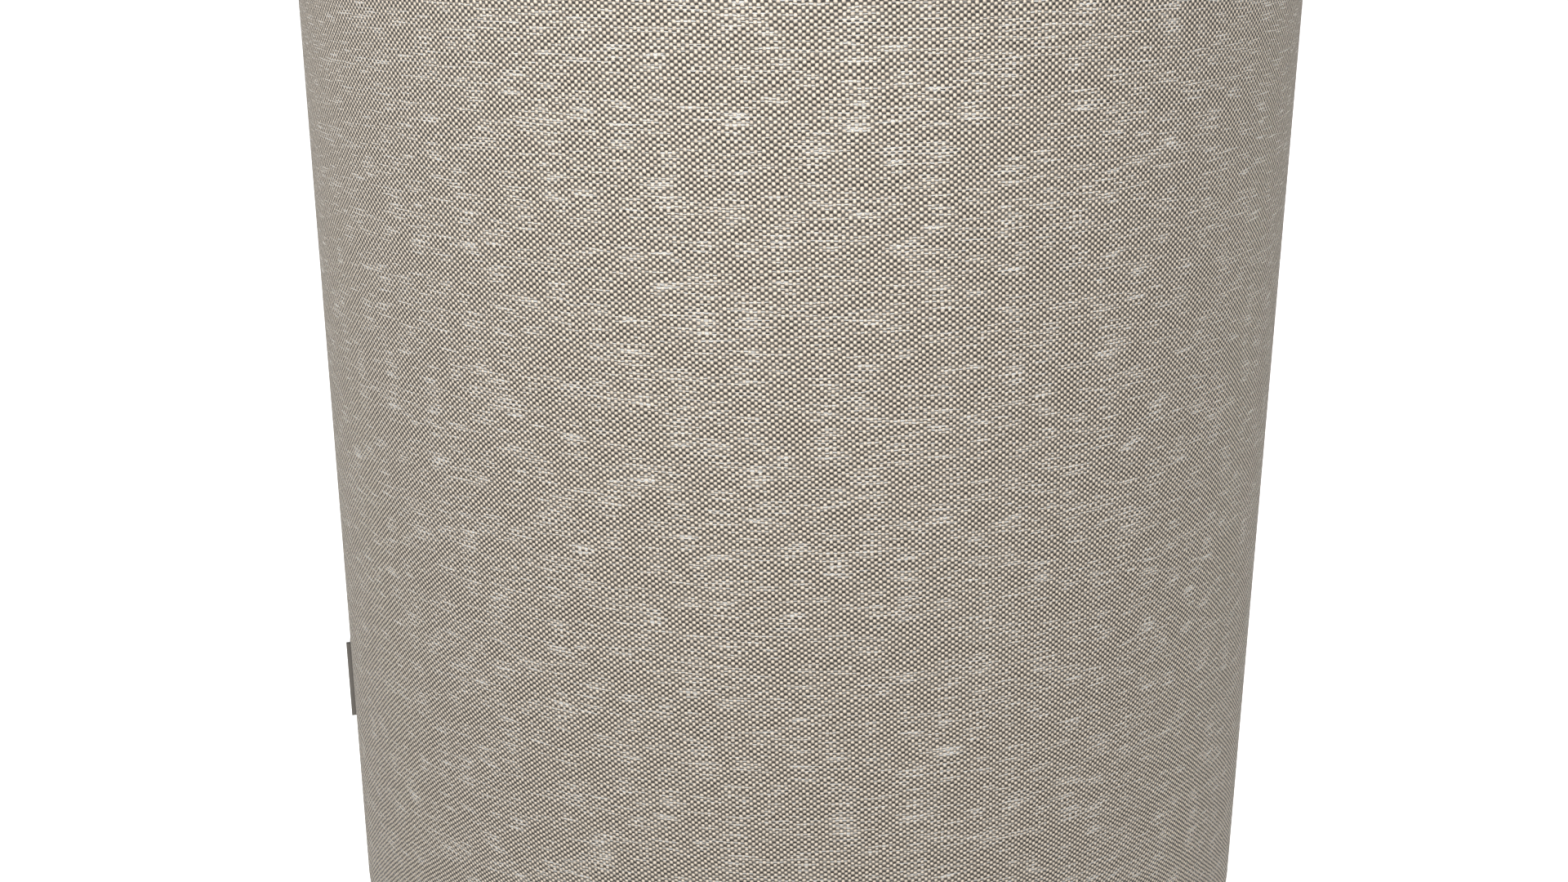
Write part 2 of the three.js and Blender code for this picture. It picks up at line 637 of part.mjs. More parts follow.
// A small aerial board standing on the enclosure's lid, beside the main board.
function antenna(name, side) {
  const x = side * 59.5;
  return piece(name, block([x - 0.6, x + 0.6], [-9, 9], [LID.top + GAP, LID.top + 12]), BOARD_GREEN);
}

function powerBoard() {
  const board = block([-48, 48], [-34, 40], [POWER_BOARD_Z, POWER_BOARD_Z + BOARD]);
  const tongue = block([-14, 16], [39, 54], [POWER_BOARD_Z, POWER_BOARD_Z + BOARD]);
  const top = POWER_BOARD_Z + BOARD - 0.2;
  const parts = [
    block([30, 44], [8, 26], [top, top + 12]),
    block([-8, 8], [22, 36], [top, top + 10]),
    block([-6, 6], [-30, -20], [top, top + 8]),
    block([34, 44], [-28, -16], [top, top + 7]),
  ];
  return piece("power_board", join(board, tongue, ...parts), BOARD_GREEN);
}

function transformer() {
  const bottom = POWER_BOARD_Z + BOARD + GAP;
  const core = block([2, 26], [-12, 10], [bottom, bottom + 18]);
  const winding = block([5, 23], [-15, 13], [bottom + 3, bottom + 15]);
  return piece("transformer", join(core, winding), FERRITE);
}

const capacitor = (name, radius, height, x, y) => {
  const bottom = POWER_BOARD_Z + BOARD + GAP;
  return piece(name, rod(radius, bottom, bottom + height, { x, y, sides: SMALL_SIDES }), BLACK_PLASTIC);
};

function powerHarness() {
  const bottom = POWER_BOARD_Z + BOARD + 2 * GAP;
  const route = [
    [30, 37, bottom],
    [30, 37, bottom + 4],
    [30, 43.5, 42],
    [30, 43.5, 80],
    [30, 43.5, 150],
    [30, 43.5, MAIN_BOARD_Z - GAP],
  ];
  return piece("power_harness", wire(1.6, route, 12), RUBBER);
}

// ---- Acoustic enclosure --------------------------------------------------------------------------------

// A circle with two flats, the plan of the enclosure and what lies on it.
function flattedCircle(radius, flat) {
  const angle = Math.asin(flat / radius);
  const shape = new THREE.Shape();
  shape.absarc(0, 0, radius, -angle, angle, false);
  shape.absarc(0, 0, radius, Math.PI - angle, Math.PI + angle, false);
  return shape;
}

const BOX_CURVE = 8;
const LEADS = { woofer: { x: 22, y: 8 }, tweeter: { x: -14, y: 12 }, hole: 2 };

function acousticEnclosure() {
  const { bottom, top, radius, flat, wall } = ENCLOSURE;
  const outside = prism(flattedCircle(radius, flat), bottom, top, BOX_CURVE);
  const inside = prism(flattedCircle(radius - wall, flat - wall), bottom + wall, top + 1, BOX_CURVE);
  const opening = (radius, near, far, z) => rodAlongY(radius, near, far, { z, sides: ROUND_SIDES });
  return piece(
    "acoustic_enclosure",
    cut(
      outside,
      inside,
      opening(WOOFER.hole, -50, -20, WOOFER.z),
      opening(TWEETER.hole, -50, -20, TWEETER.z),
      opening(WOOFER.hole, 20, 50, RADIATOR.z),
    ),
    BLACK_PLASTIC,
  );
}

function enclosureGasket() {
  const { top, radius, flat, wall } = ENCLOSURE;
  const low = top + GAP;
  const outside = prism(flattedCircle(radius, flat), low, low + GASKET, BOX_CURVE);
  const inside = prism(flattedCircle(radius - wall, flat - wall), low - 1, low + GASKET + 1, BOX_CURVE);
  return piece("enclosure_gasket", cut(outside, inside), FOAM);
}

const MAIN_POSTS = [
  [-36, -26],
  [36, -26],
  [-34, 30],
  [20, 32],
];

function enclosureLid() {
  const plate = prism(flattedCircle(ENCLOSURE.radius, ENCLOSURE.flat), LID.bottom, LID.top, BOX_CURVE);
  const posts = MAIN_POSTS.map(([x, y]) => rod(2.8, LID.bottom + 1, MAIN_BOARD_Z - GAP, { x, y }));
  const holes = [LEADS.woofer, LEADS.tweeter].map((place) =>
    rod(LEADS.hole, LID.bottom - 1, LID.top + 1, place),
  );
  return piece("enclosure_lid", cut(join(plate, ...posts), ...holes), BLACK_PLASTIC);
}

function dampingPad() {
  const back = ENCLOSURE.flat - ENCLOSURE.wall - GAP;
  return piece("damping_pad", block([-30, 30], [back - 10, back], [121, 151]), FOAM);
}

function driverLead(name, start, turn, end) {
  const top = MAIN_BOARD_Z - GAP;
  const route = [
    [start.x, start.y, top],
    [start.x, start.y, top - 4],
    [start.x, start.y, 150],
    turn,
    end,
  ];
  return piece(name, wire(1, route, 12), COPPER);
}

// ---- Drivers -------------------------------------------------------------------------------------------
// Each is built in its own frame: +Z is forward, out of the enclosure, whose outer face is at z = 0.

const BASKET_WINDOWS = [45, 135, 225, 315];

function wooferBasket() {
  const basket = revolve([
    [WOOFER.frame, GAP],
    [WOOFER.frame, 2.8],
    [32.6, 2.8],
    [32.6, 1],
    [29.6, 1],
    [29.6, -4.2],
    [23, -12.6],
    [21.6, -12.6],
    [21.6, -14.2],
    [16.5, -14.2],
    [16.5, -15.7],
    [24.6, -15.7],
    [31.2, -5],
    [31.2, GAP],
  ]);
  const windows = BASKET_WINDOWS.map((a) =>
    block([15, 40], [-8, 8], [-11.8, -5.5]).rotateZ(THREE.MathUtils.degToRad(a)),
  );
  return piece("woofer_basket", cut(basket, ...windows), STEEL);
}

const wooferMagnet = () =>
  piece(
    "woofer_magnet",
    revolve(
      [
        [0, -30],
        [25, -30],
        [25, -16],
        [14.9, -16],
        [14.9, -27.5],
        [12, -27.5],
        [12, -16.3],
        [0, -16.3],
      ],
      SMALL_SIDES,
    ),
    FERRITE,
  );

const wooferCone = () =>
  piece(
    "woofer_cone",
    revolve([
      [0, -5.6],
      [6, -6.2],
      [13.4, -9.3],
      [20, -5.2],
      [27.1, -0.9],
      [27.1, -1.7],
      [20, -6.2],
      [13.8, -10.4],
      [12.4, -10.4],
      [6, -7.2],
      [0, -6.5],
    ]),
    PAPER,
  );

const wooferVoiceCoil = () =>
  piece(
    "woofer_voice_coil",
    revolve(
      [
        [12.7, -24],
        [14.1, -24],
        [14.1, -10.7],
        [12.7, -10.7],
      ],
      SMALL_SIDES,
    ),
    COPPER,
  );

// A half-roll rubber ring between a cone's edge and its frame's ledge.
const surround = (name) =>
  piece(
    name,
    revolve([
      [27.5, -1.3],
      [27.5, 1.6],
      [28.2, 2.9],
      [29.8, 3],
      [30.9, 1.9],
      [32.3, 1.9],
      [32.3, 1.3],
      [30.6, 1.3],
      [29.5, 2.4],
      [28.6, 2.2],
      [28.1, 1.3],
      [28.1, -1.3],
    ]),
    RUBBER,
  );

// A corrugated disc that centres the voice coil.
function wooferSpider() {
  const waves = 2;
  const [inner, outer, middle, height, thickness] = [14.5, 21.2, -12.9, 0.5, 0.4];
  const line = (lift) =>
    Array.from({ length: 2 * waves + 1 }, (_, i) => [
      inner + ((outer - inner) * i) / (2 * waves),
      middle + lift + (i % 2 ? height : -height) / 2,
    ]);
  return piece("woofer_spider", revolve([...line(0), ...line(thickness).reverse()]), BRASS);
}

function tweeterFrame() {
  const profile = [
    [TWEETER.frame, GAP],
    [TWEETER.frame, 2.3],
    [10.4, 2.3],
    [9.7, 0.9],
    [9.7, -3.4],
    [12.2, -3.4],
    [12.2, GAP],
  ];
  return piece("tweeter_frame", revolve(profile, 32), BLACK_PLASTIC);
}

const tweeterMagnet = () =>
  piece(
    "tweeter_magnet",
    revolve(
      [
        [0, -14],
        [11.8, -14],
        [11.8, -3.7],
        [8.8, -3.7],
        [8.8, -7.5],
        [7, -7.5],
        [7, -3.7],
        [0, -3.7],
      ],
      SMALL_SIDES,
    ),
    FERRITE,
  );

const tweeterDome = () =>
  piece(
    "tweeter_dome",
    revolve(
      [
        [0, 2],
        [3, 1.7],
        [6, 0.8],
        [8.4, -0.9],
        [9.3, -0.9],
        [9.3, -1.5],
        [8.2, -1.5],
        [8.2, -6.4],
        [7.6, -6.4],
        [7.6, -1.2],
        [5.6, 0.2],
        [3, 1.1],
        [0, 1.4],
      ],
      SMALL_SIDES,
    ),
    PAPER,
  );

function radiatorFrame() {
  const profile = [
    [WOOFER.frame, GAP],
    [WOOFER.frame, 2.8],
    [32.6, 2.8],
    [32.6, 1],
    [29.6, 1],
    [29.6, -2.5],
    [31.2, -2.5],
    [31.2, GAP],
  ];
  return piece("radiator_frame", revolve(profile), STEEL);
}

const radiatorCone = () =>
  piece(
    "radiator_cone",
    revolve([
      [0, 0.4],
      [12, 0.4],
      [13.5, -0.6],
      [27.1, -0.9],
      [27.1, -1.8],
      [14, -1.8],
      [14, -5],
      [0, -5],
    ]),
    PAPER,
  );

function driver(z, side, ...pieces) {
  const group = groupOf(...pieces);
  group.rotation.x = (side * Math.PI) / 2;
  group.position.set(0, -side * ENCLOSURE.flat, z);
  return group;
}

// ---- Assembly ------------------------------------------------------------------------------------------

const FRONT = 1;
const BACK = -1;

const casing = groupOf(
  fabricSleeve(),
  badge(),
  grilleShell(),
  upperRing(),
  lowerHousing(),
  baseCover(),
  footRing(),
  ...SCREW_ANGLES.map((degrees, i) => baseScrew(i + 1, degrees)),
  rearPanel(),
  powerInlet(),
  inletPin("inlet_pin_left", -1),
  inletPin("inlet_pin_right", 1),
  resetButton(),
  resetSwitch(),
);

const controls = groupOf(
  trimRing(),
  controlPanel(),
  lightRing(),
  ...buttons(),
  ...buttonSwitches(),
  controlBoard(),
  topChassis(),
  controlRibbon(),
);

const electronics = groupOf(
  mainBoard(),
  heatSink(),
  antenna("antenna_left", -1),
  antenna("antenna_right", 1),
  powerBoard(),
  transformer(),
  capacitor("bulk_capacitor_large", 9, 21, -26, -12),
  capacitor("bulk_capacitor_small", 6.5, 18, -28, 10),
  powerHarness(),
);

const wooferPieces = [
  wooferBasket(),
  wooferMagnet(),
  wooferCone(),
  wooferVoiceCoil(),
  surround("woofer_surround"),
  wooferSpider(),
];
const tweeterPieces = [tweeterFrame(), tweeterMagnet(), tweeterDome()];
const radiatorPieces = [radiatorFrame(), radiatorCone(), surround("radiator_surround")];

const acoustics = groupOf(
  acousticEnclosure(),
  enclosureGasket(),
  enclosureLid(),
  dampingPad(),
  driverLead("woofer_lead", LEADS.woofer, [26, 2, 128], [28, -14, 104]),
  driverLead("tweeter_lead", LEADS.tweeter, [-13, -6, 146], [-11, -18, 141]),
  driver(WOOFER.z, FRONT, ...wooferPieces),
  driver(TWEETER.z, FRONT, ...tweeterPieces),
  driver(RADIATOR.z, BACK, ...radiatorPieces),
);

const speaker = groupOf(casing, controls, electronics, acoustics);

export default speaker;
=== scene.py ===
"""A cloth-covered smart speaker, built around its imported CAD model.

Lengths are in millimetres where they are named and turned into metres as the meshes are made.
The front, with the badge, faces -Y, and the back, with the power inlet, faces +Y.
"""

import json
import math

import bmesh
import bpy
from mathutils import Matrix, Vector


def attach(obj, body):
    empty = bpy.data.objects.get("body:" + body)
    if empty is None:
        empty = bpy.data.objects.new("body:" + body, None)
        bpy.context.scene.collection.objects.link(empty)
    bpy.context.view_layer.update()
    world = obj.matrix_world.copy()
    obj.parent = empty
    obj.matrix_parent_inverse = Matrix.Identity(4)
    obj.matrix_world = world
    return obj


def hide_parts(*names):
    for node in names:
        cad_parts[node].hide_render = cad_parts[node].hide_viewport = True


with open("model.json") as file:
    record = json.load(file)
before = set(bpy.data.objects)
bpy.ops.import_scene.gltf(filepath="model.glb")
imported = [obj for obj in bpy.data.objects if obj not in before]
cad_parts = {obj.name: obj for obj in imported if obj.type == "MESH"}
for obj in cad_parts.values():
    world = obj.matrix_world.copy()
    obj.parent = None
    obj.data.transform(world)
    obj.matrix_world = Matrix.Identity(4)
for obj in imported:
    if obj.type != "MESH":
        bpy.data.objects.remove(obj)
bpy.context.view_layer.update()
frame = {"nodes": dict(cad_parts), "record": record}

MM = 0.001  # metres in a millimetre
TINY = 1e-6  # lengths below this count as none
ROUND = 160  # sides of a body-sized circle
FINE_ROUND = 200  # sides of a circle whose edge shows
SMOOTH_ANGLE = math.radians(35)  # edges sharper than this stay sharp
CASING = "casing"

# Sizes that the pieces below share, in millimetres.
BODY_RADIUS = 70
CLOTH_THICKNESS = 1.2
EDGE_RADIUS = 9.5
EDGE_CENTRE = BODY_RADIUS - EDGE_RADIUS
CLOTH_BOTTOM = 3
CLOTH_TOP = 188
HEM_RADIUS = 58.7
SEAM_SINK = 0.75
SEAM_WIDTH = 0.5
SEAM_SHARPNESS = 1.5
SEAM_GAP = 0.02
REAR_HALF_WIDTH = 16.3
REAR_BOTTOM = 15
REAR_TOP = 37
REAR_MIDDLE = (REAR_BOTTOM + REAR_TOP) / 2
REAR_SUNK = 0.3
REAR_WALL = 2
REAR_CORNER = 3.5
OPENING_HALF_WIDTH = 16.6  # along the curve
OPENING_HALF_HEIGHT = 11.15
REAR_FLOOR = 62.5
INLET_X, INLET_Z = -3.5, 26
PIN_OFFSET = 4.3
RESET_X, RESET_Z = 10, 26
BUTTON_RING = 31
MICROPHONE_RING = 38

# The cloth's lattice: the threads' widths in metres, and how far they lean from upright and from level.
WARP_PITCH = 0.000444
WEFT_PITCH = 0.000358
WARP_LEAN = 0.0419
WEFT_RISE = 0.0077


# ---- Mesh helpers --------------------------------------------------------------------------------------


def add_object(name, mesh, material=None):
    made = bpy.data.objects.new(name, mesh)
    bpy.context.scene.collection.objects.link(made)
    if material is not None:
        made.data.materials.append(material)
    return made


def smooth(mesh):
    """Shades the mesh smooth, except across its sharp edges."""
    mesh.shade_smooth()
    mesh.set_sharp_from_angle(angle=SMOOTH_ANGLE)


def mesh_from(bm, name):
    bmesh.ops.recalc_face_normals(bm, faces=bm.faces)
    mesh = bpy.data.meshes.new(name)
    bm.to_mesh(mesh)
    bm.free()
    smooth(mesh)
    return mesh


def apply_modifiers(piece):
    """Turns what the modifiers make into the piece's own mesh."""
    graph = bpy.context.evaluated_depsgraph_get()
    final = bpy.data.meshes.new_from_object(piece.evaluated_get(graph))
    piece.modifiers.clear()
    piece.data = final
    smooth(final)
    return piece


def boolean(piece, operation, others):
    """Cuts, joins or intersects the piece with the others in turn, and removes the others."""
    for other in others:
        step = piece.modifiers.new("step", "BOOLEAN")
        step.operation = operation
        step.solver = "EXACT"
        step.object = other
    apply_modifiers(piece)
    for other in others:
        bpy.data.objects.remove(other)
    return piece


def carve(piece, *cutters):
    return boolean(piece, "DIFFERENCE", cutters)


def soften(piece, width):
    """Rounds the piece's sharp edges by width, in millimetres."""
    bevel = piece.modifiers.new("bevel", "BEVEL")
    bevel.width = width * MM
    bevel.segments = 2
    bevel.limit_method = "ANGLE"
    bevel.angle_limit = math.radians(40)
    return apply_modifiers(piece)


def round_corners(loop, radius):
    """A closed loop of [x, y] points with each corner rounded, as far as its sides allow."""
    steps = 4
    points = [Vector(p) for p in loop]
    rounded = []
    for i, corner in enumerate(points):
        before, after = points[i - 1], points[(i + 1) % len(points)]
        reach = min(radius, (before - corner).length * 0.45, (after - corner).length * 0.45)
        on_axis = abs(corner.x) < TINY
        if on_axis or reach < TINY:
            rounded.append(corner)
            continue
        start = corner + (before - corner).normalized() * reach
        end = corner + (after - corner).normalized() * reach
        for step in range(steps + 1):
            t = step / steps
            rounded.append(start.lerp(corner, t).lerp(corner.lerp(end, t), t))
    return rounded


def turn(name, loop, material=None, sides=ROUND, radius=0.0):
    """A closed loop of [radius, height] points turned about Z, its corners rounded by radius."""
    points = round_corners(loop, radius) if radius else [Vector(p) for p in loop]
    bm = bmesh.new()
    columns = []
    poles = {k: bm.verts.new((0, 0, p.y * MM)) for k, p in enumerate(points) if abs(p.x) < TINY}
    for i in range(sides):
        angle = 2 * math.pi * i / sides
        column = []
        for k, p in enumerate(points):
            out = p.x * MM
            if k in poles:
                column.append(poles[k])
            else:
                column.append(bm.verts.new((out * math.cos(angle), out * math.sin(angle), p.y * MM)))
        columns.append(column)
    for i, column in enumerate(columns):
        following = columns[(i + 1) % sides]
        for k in range(len(points)):
            after = (k + 1) % len(points)
            corners = [column[k], following[k], following[after], column[after]]
            distinct = list(dict.fromkeys(corners))
            if len(distinct) > 2:
                bm.faces.new(distinct)
    return add_object(name, mesh_from(bm, name), material)


def extrude(name, outline, low, high, material=None):
    """A flat outline of [x, y] points drawn up from low to high."""
    bm = bmesh.new()
    bottom = [bm.verts.new((p[0] * MM, p[1] * MM, low * MM)) for p in outline]
    top = [bm.verts.new((p[0] * MM, p[1] * MM, high * MM)) for p in outline]
    bm.faces.new(bottom)
    bm.faces.new(top)
    for i in range(len(outline)):
        after = (i + 1) % len(outline)
        bm.faces.new((bottom[i], bottom[after], top[after], top[i]))
    return add_object(name, mesh_from(bm, name), material)


def transform(piece, matrix):
    piece.data.transform(matrix)
    piece.data.update()
    return piece


def shift(piece, x=0.0, y=0.0, z=0.0):
    return transform(piece, Matrix.Translation((x * MM, y * MM, z * MM)))


def lay_along_y(piece):
    """Turns a piece made along +Z so that it runs along +Y, with its +Y side up."""
    upright = Matrix.Rotation(math.pi, 4, "Z")
    return transform(piece, Matrix.Rotation(math.radians(-90), 4, "X") @ upright)


def on_back(piece, x, z):
    """Lays a piece made along +Z along +Y, with its axis at x and z."""
    return shift(lay_along_y(piece), x, 0, z)


def joined(name, pieces):
    """Makes one mesh of several objects of one material."""
    bm = bmesh.new()
    for piece in pieces:
        bm.from_mesh(piece.data)
    mesh = bpy.data.meshes.new(name)
    bm.to_mesh(mesh)
    bm.free()
    smooth(mesh)
    material = pieces[0].data.materials[0]
    for piece in pieces:
        bpy.data.objects.remove(piece)
    return add_object(name, mesh, material)


def circle(radius, sides):
    outline = []
    for i in range(sides):
        angle = 2 * math.pi * i / sides
        outline.append((radius * math.cos(angle), radius * math.sin(angle)))
    return outline


def lobed_circle(radius, depth, lobes, sides):
    """A circle whose radius swells and shrinks by a share of itself, once for each lobe."""
    outline = []
    for i in range(sides):
        angle = 2 * math.pi * i / sides
        reach = radius * (1 + depth * math.cos(lobes * angle))
        outline.append((reach * math.cos(angle), reach * math.sin(angle)))
    return outline


def rounded_rectangle(half_width, half_height, radius, steps=8):
    corners = [(1, 1, 0), (-1, 1, 90), (-1, -1, 180), (1, -1, 270)]
    outline = []
    for side_x, side_y, first in corners:
        for step in range(steps + 1):
            angle = math.radians(first + 90 * step / steps)
            outline.append((side_x * (half_width - radius) + radius * math.cos(angle),
                            side_y * (half_height - radius) + radius * math.sin(angle)))
    return outline


def stadium(half_width, half_height):
    return rounded_rectangle(half_width, half_height, half_height, 12)


def on_ring(radius, degrees):
    """The point at an angle on a circle about the axis."""
    angle = math.radians(degrees)
    return radius * math.cos(angle), radius * math.sin(angle)


def place(piece, slot, *nodes, body=CASING):
    """Puts a finished piece on its body, in place of its CAD nodes."""
    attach(piece, body)
    if nodes:
        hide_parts(*nodes)
    return piece


# ---- Material helpers ----------------------------------------------------------------------------------


# Places of the colour sockets on a Mix node, whose names are shared by its other types.
MIX_FIRST, MIX_SECOND, MIX_RESULT = 6, 7, 2


class Shader:
    """A Principled material and short ways to add the nodes that feed it."""

    def __init__(self, name, color, roughness, metallic=0.0, finish=None):
        self.material = bpy.data.materials.new(name)
        self.material.use_nodes = True
        self.tree = self.material.node_tree
        self.principled = self.tree.nodes["Principled BSDF"]
        self.principled.inputs["Base Color"].default_value = (*color, 1)
        self.principled.inputs["Roughness"].default_value = roughness
        self.principled.inputs["Metallic"].default_value = metallic
        for socket, value in (finish or {}).items():
            self.principled.inputs[socket].default_value = value

    def node(self, kind, **settings):
        made = self.tree.nodes.new(kind)
        for key, value in settings.items():
            setattr(made, key, value)
        return made

    def feed(self, socket, value):
        """Links an output to the socket, or sets it to a plain value."""
        if isinstance(value, bpy.types.NodeSocket):
            self.tree.links.new(value, socket)
        else:
            socket.default_value = value

    def math(self, operation, *values):
        made = self.node("ShaderNodeMath", operation=operation)
        for socket, value in zip(made.inputs, values):
            self.feed(socket, value)
        return made.outputs[0]

    def range(self, value, low, high, to_low=0.0, to_high=1.0):
        """Eases from to_low, where the value is low, to to_high, where it is high."""
        made = self.node("ShaderNodeMapRange", interpolation_type="SMOOTHSTEP")
        for socket, given in zip(made.inputs, (value, low, high, to_low, to_high)):
            self.feed(socket, given)
        return made.outputs[0]

    def mix(self, share, first, second):
        made = self.node("ShaderNodeMix", data_type="RGBA")
        self.feed(made.inputs["Factor"], share)
        self.feed(made.inputs[MIX_FIRST], first)
        self.feed(made.inputs[MIX_SECOND], second)
        return made.outputs[MIX_RESULT]

    def position(self):
        return self.node("ShaderNodeTexCoord").outputs["Object"]

    def split(self, vector):
        made = self.node("ShaderNodeSeparateXYZ")
        self.feed(made.inputs[0], vector)
        return made.outputs

    def combine(self, x=0.0, y=0.0, z=0.0):
        made = self.node("ShaderNodeCombineXYZ")
        for socket, value in zip(made.inputs, (x, y, z)):
            self.feed(socket, value)
        return made.outputs[0]

    def stretch(self, vector, scale):
        made = self.node("ShaderNodeMapping")
        self.feed(made.inputs["Vector"], vector)
        made.inputs["Scale"].default_value = scale
        return made.outputs[0]

    def noise(self, vector, scale, detail=2.0, roughness=0.5):
        made = self.node("ShaderNodeTexNoise")
        self.feed(made.inputs["Vector"], vector)
        made.inputs["Scale"].default_value = scale
        made.inputs["Detail"].default_value = detail
        made.inputs["Roughness"].default_value = roughness
        return made.outputs[0]

    def cells(self, vector, scale, feature="F1"):
        made = self.node("ShaderNodeTexVoronoi", feature=feature)
        self.feed(made.inputs["Vector"], vector)
        made.inputs["Scale"].default_value = scale
        return made.outputs["Distance"]

    def bump(self, height, distance):
        """Raises the surface by height times distance, in millimetres."""
        made = self.node("ShaderNodeBump")
        made.inputs["Strength"].default_value = 1.0
        made.inputs["Distance"].default_value = distance * MM
        self.feed(made.inputs["Height"], height)
        self.feed(self.principled.inputs["Normal"], made.outputs[0])

    def paint(self, socket, value):
        self.feed(self.principled.inputs[socket], value)


def opaque(color, factor=1.0):
    """The colour times factor, as the four numbers that a colour socket takes."""
    return (*(part * factor for part in color), 1)


def grained(name, color, roughness, grain, depth=0.02, spread=0.12, metallic=0.0, finish=None):
    """Moulded plastic, rubber or paint: a fine grain, with a little wear in its colour and gloss."""
    shader = Shader(name, color, roughness, metallic, finish)
    spot = shader.position()
    fine = shader.noise(spot, grain, 3.0, 0.6)
    broad = shader.noise(spot, 45.0, 3.0, 0.55)
    wear = shader.range(broad, 0.3, 0.7)
    shader.paint("Base Color", shader.mix(wear, opaque(color, 1 - spread), opaque(color, 1 + spread)))
    shader.paint("Roughness", shader.range(fine, 0.25, 0.75, roughness - 0.07, roughness + 0.07))
    shader.bump(fine, depth)
    return shader.material


def brushed(name, color, roughness, direction, metallic=1.0):
    """Metal with fine lines: direction is the scale along each axis, small along the lines."""
    shader = Shader(name, color, roughness, metallic)
    lines = shader.noise(shader.stretch(shader.position(), direction), 1.0, 4.0, 0.6)
    shader.paint("Base Color", shader.mix(lines, opaque(color, 0.9), opaque(color, 1.1)))
    shader.paint("Roughness", shader.range(lines, 0.3, 0.7, roughness - 0.06, roughness + 0.08))
    shader.bump(lines, 0.004)
    return shader.material


# ---- Cloth ---------------------------------------------------------------------------------------------

CREAM = (0.925, 0.802, 0.655)
CHARCOAL = (0.046, 0.043, 0.040)
LINT = (0.72, 0.72, 0.70)


def thread_counts(shader, flat):
    """How many warp and weft threads lie before a point of the flat cloth, which sway as real ones do."""
    around, along, _ = shader.split(flat)
    leaning = shader.math("MULTIPLY_ADD", along, WARP_LEAN, around)
    rising = shader.math("MULTIPLY_ADD", around, -WEFT_RISE, along)
    sway = shader.noise(shader.stretch(flat, (130, 90, 1)), 1.0, 1.0)
    drift = shader.noise(shader.stretch(flat, (90, 150, 1)), 1.0, 1.0)
    shiver = shader.noise(shader.stretch(flat, (900, 900, 1)), 1.0, 0.0)
    jitter = shader.noise(shader.stretch(flat, (1000, 1100, 1)), 1.0, 0.0)
    warp_shift = shader.math("MULTIPLY_ADD", shiver, 0.4, sway)
    weft_shift = shader.math("MULTIPLY_ADD", jitter, 0.5, drift)
    warp = shader.math("MULTIPLY_ADD", leaning, 1 / WARP_PITCH, warp_shift)
    weft = shader.math("MULTIPLY_ADD", rising, 1 / WEFT_PITCH, weft_shift)
    return warp, weft


def stitch_height(shader, warp, weft):
    """How far the warp stands over the weft. Whole counts are the edges of threads."""
    warp_wave = shader.math("SINE", shader.math("MULTIPLY", warp, math.pi))
    weft_wave = shader.math("SINE", shader.math("MULTIPLY", weft, math.pi))
    # The product is positive where the warp lies on top. The rest rounds each stitch and makes it taller.
    checker = shader.math("MULTIPLY", warp_wave, weft_wave)
    upright = shader.math("MULTIPLY_ADD", shader.math("ABSOLUTE", warp_wave), 0.5, checker)
    rounded = shader.math("MULTIPLY_ADD", shader.math("ABSOLUTE", weft_wave), 0.12, upright)
    return shader.math("ADD", rounded, -0.05)


def weft_fibres(shader, warp, weft):
    """The weft's colour, mostly charcoal with some grey, and where pale lint lies on it in short streaks."""
    threads = shader.combine(warp, weft)
    fibre = shader.noise(shader.stretch(threads, (0.1, 1.9, 1)), 1.0, 1.0)
    patch = shader.noise(shader.stretch(threads, (0.05, 0.11, 1)), 1.0, 2.0)
    fuzz = shader.noise(shader.stretch(threads, (0.5, 3.7, 1)), 1.0, 1.0)
    pale = shader.math("MULTIPLY_ADD", patch, 0.25, fibre)
    lint = shader.range(pale, 0.72, 0.82)
    grey = shader.range(pale, 0.58, 0.76)
    dark = shader.mix(shader.range(fuzz, 0.3, 0.7), opaque(CHARCOAL, 0.55), opaque(CHARCOAL, 1.6))
    plain = shader.mix(grey, dark, opaque(CHARCOAL, 3.2))
    return shader.mix(lint, plain, opaque(LINT)), lint


def warp_stitches(shader, flat, stitch):
    """The warp's colour: cream that varies from place to place, and painted shade darkening each stitch's
    edge.
    """
    mottle = shader.noise(shader.stretch(flat, (1500, 1900, 1)), 1.0, 0.0)
    cream = shader.mix(shader.range(mottle, 0.3, 0.7), opaque(CREAM, 0.86), opaque(CREAM, 1.07))
    # Painted shade: the cream falls to three tenths of itself where a stitch sinks to its edge.
    return shader.mix(shader.range(stitch, -0.05, 1.1), opaque(CREAM, 0.3), cream)


def woven_cloth():
    """A plain weave of round cream stitches over charcoal thread, drawn in the flat cloth's coordinates."""
    finish = {"Sheen Weight": 0.1, "Sheen Roughness": 0.5, "Specular IOR Level": 0.2}
    shader = Shader("woven_cloth", CREAM, 0.85, finish=finish)
    flat = shader.node("ShaderNodeUVMap", uv_map="cloth").outputs[0]
    warp, weft = thread_counts(shader, flat)
    stitch = stitch_height(shader, warp, weft)
    weft_color, lint = weft_fibres(shader, warp, weft)
    warp_color_and_shade = warp_stitches(shader, flat, stitch)
    buried = shader.math("MULTIPLY_ADD", lint, -0.3, stitch)
    # The warp's colour carries painted shade towards each stitch's edge.
    shader.paint("Base Color", shader.mix(shader.range(buried, -0.08, 0.16), weft_color, warp_color_and_shade))
    shader.bump(shader.range(stitch, -0.3, 1.6), 0.1)
    return shader.material


HEM = EDGE_CENTRE - HEM_RADIUS
QUARTER = math.pi / 2 * EDGE_RADIUS
STRAIGHT = CLOTH_TOP - CLOTH_BOTTOM - 2 * EDGE_RADIUS
CLOTH_WIDTH = 2 * math.pi * BODY_RADIUS
CLOTH_LENGTH = 2 * HEM + 2 * QUARTER + STRAIGHT
OPENING_MIDDLE = HEM + QUARTER + REAR_MIDDLE - (CLOTH_BOTTOM + EDGE_RADIUS)


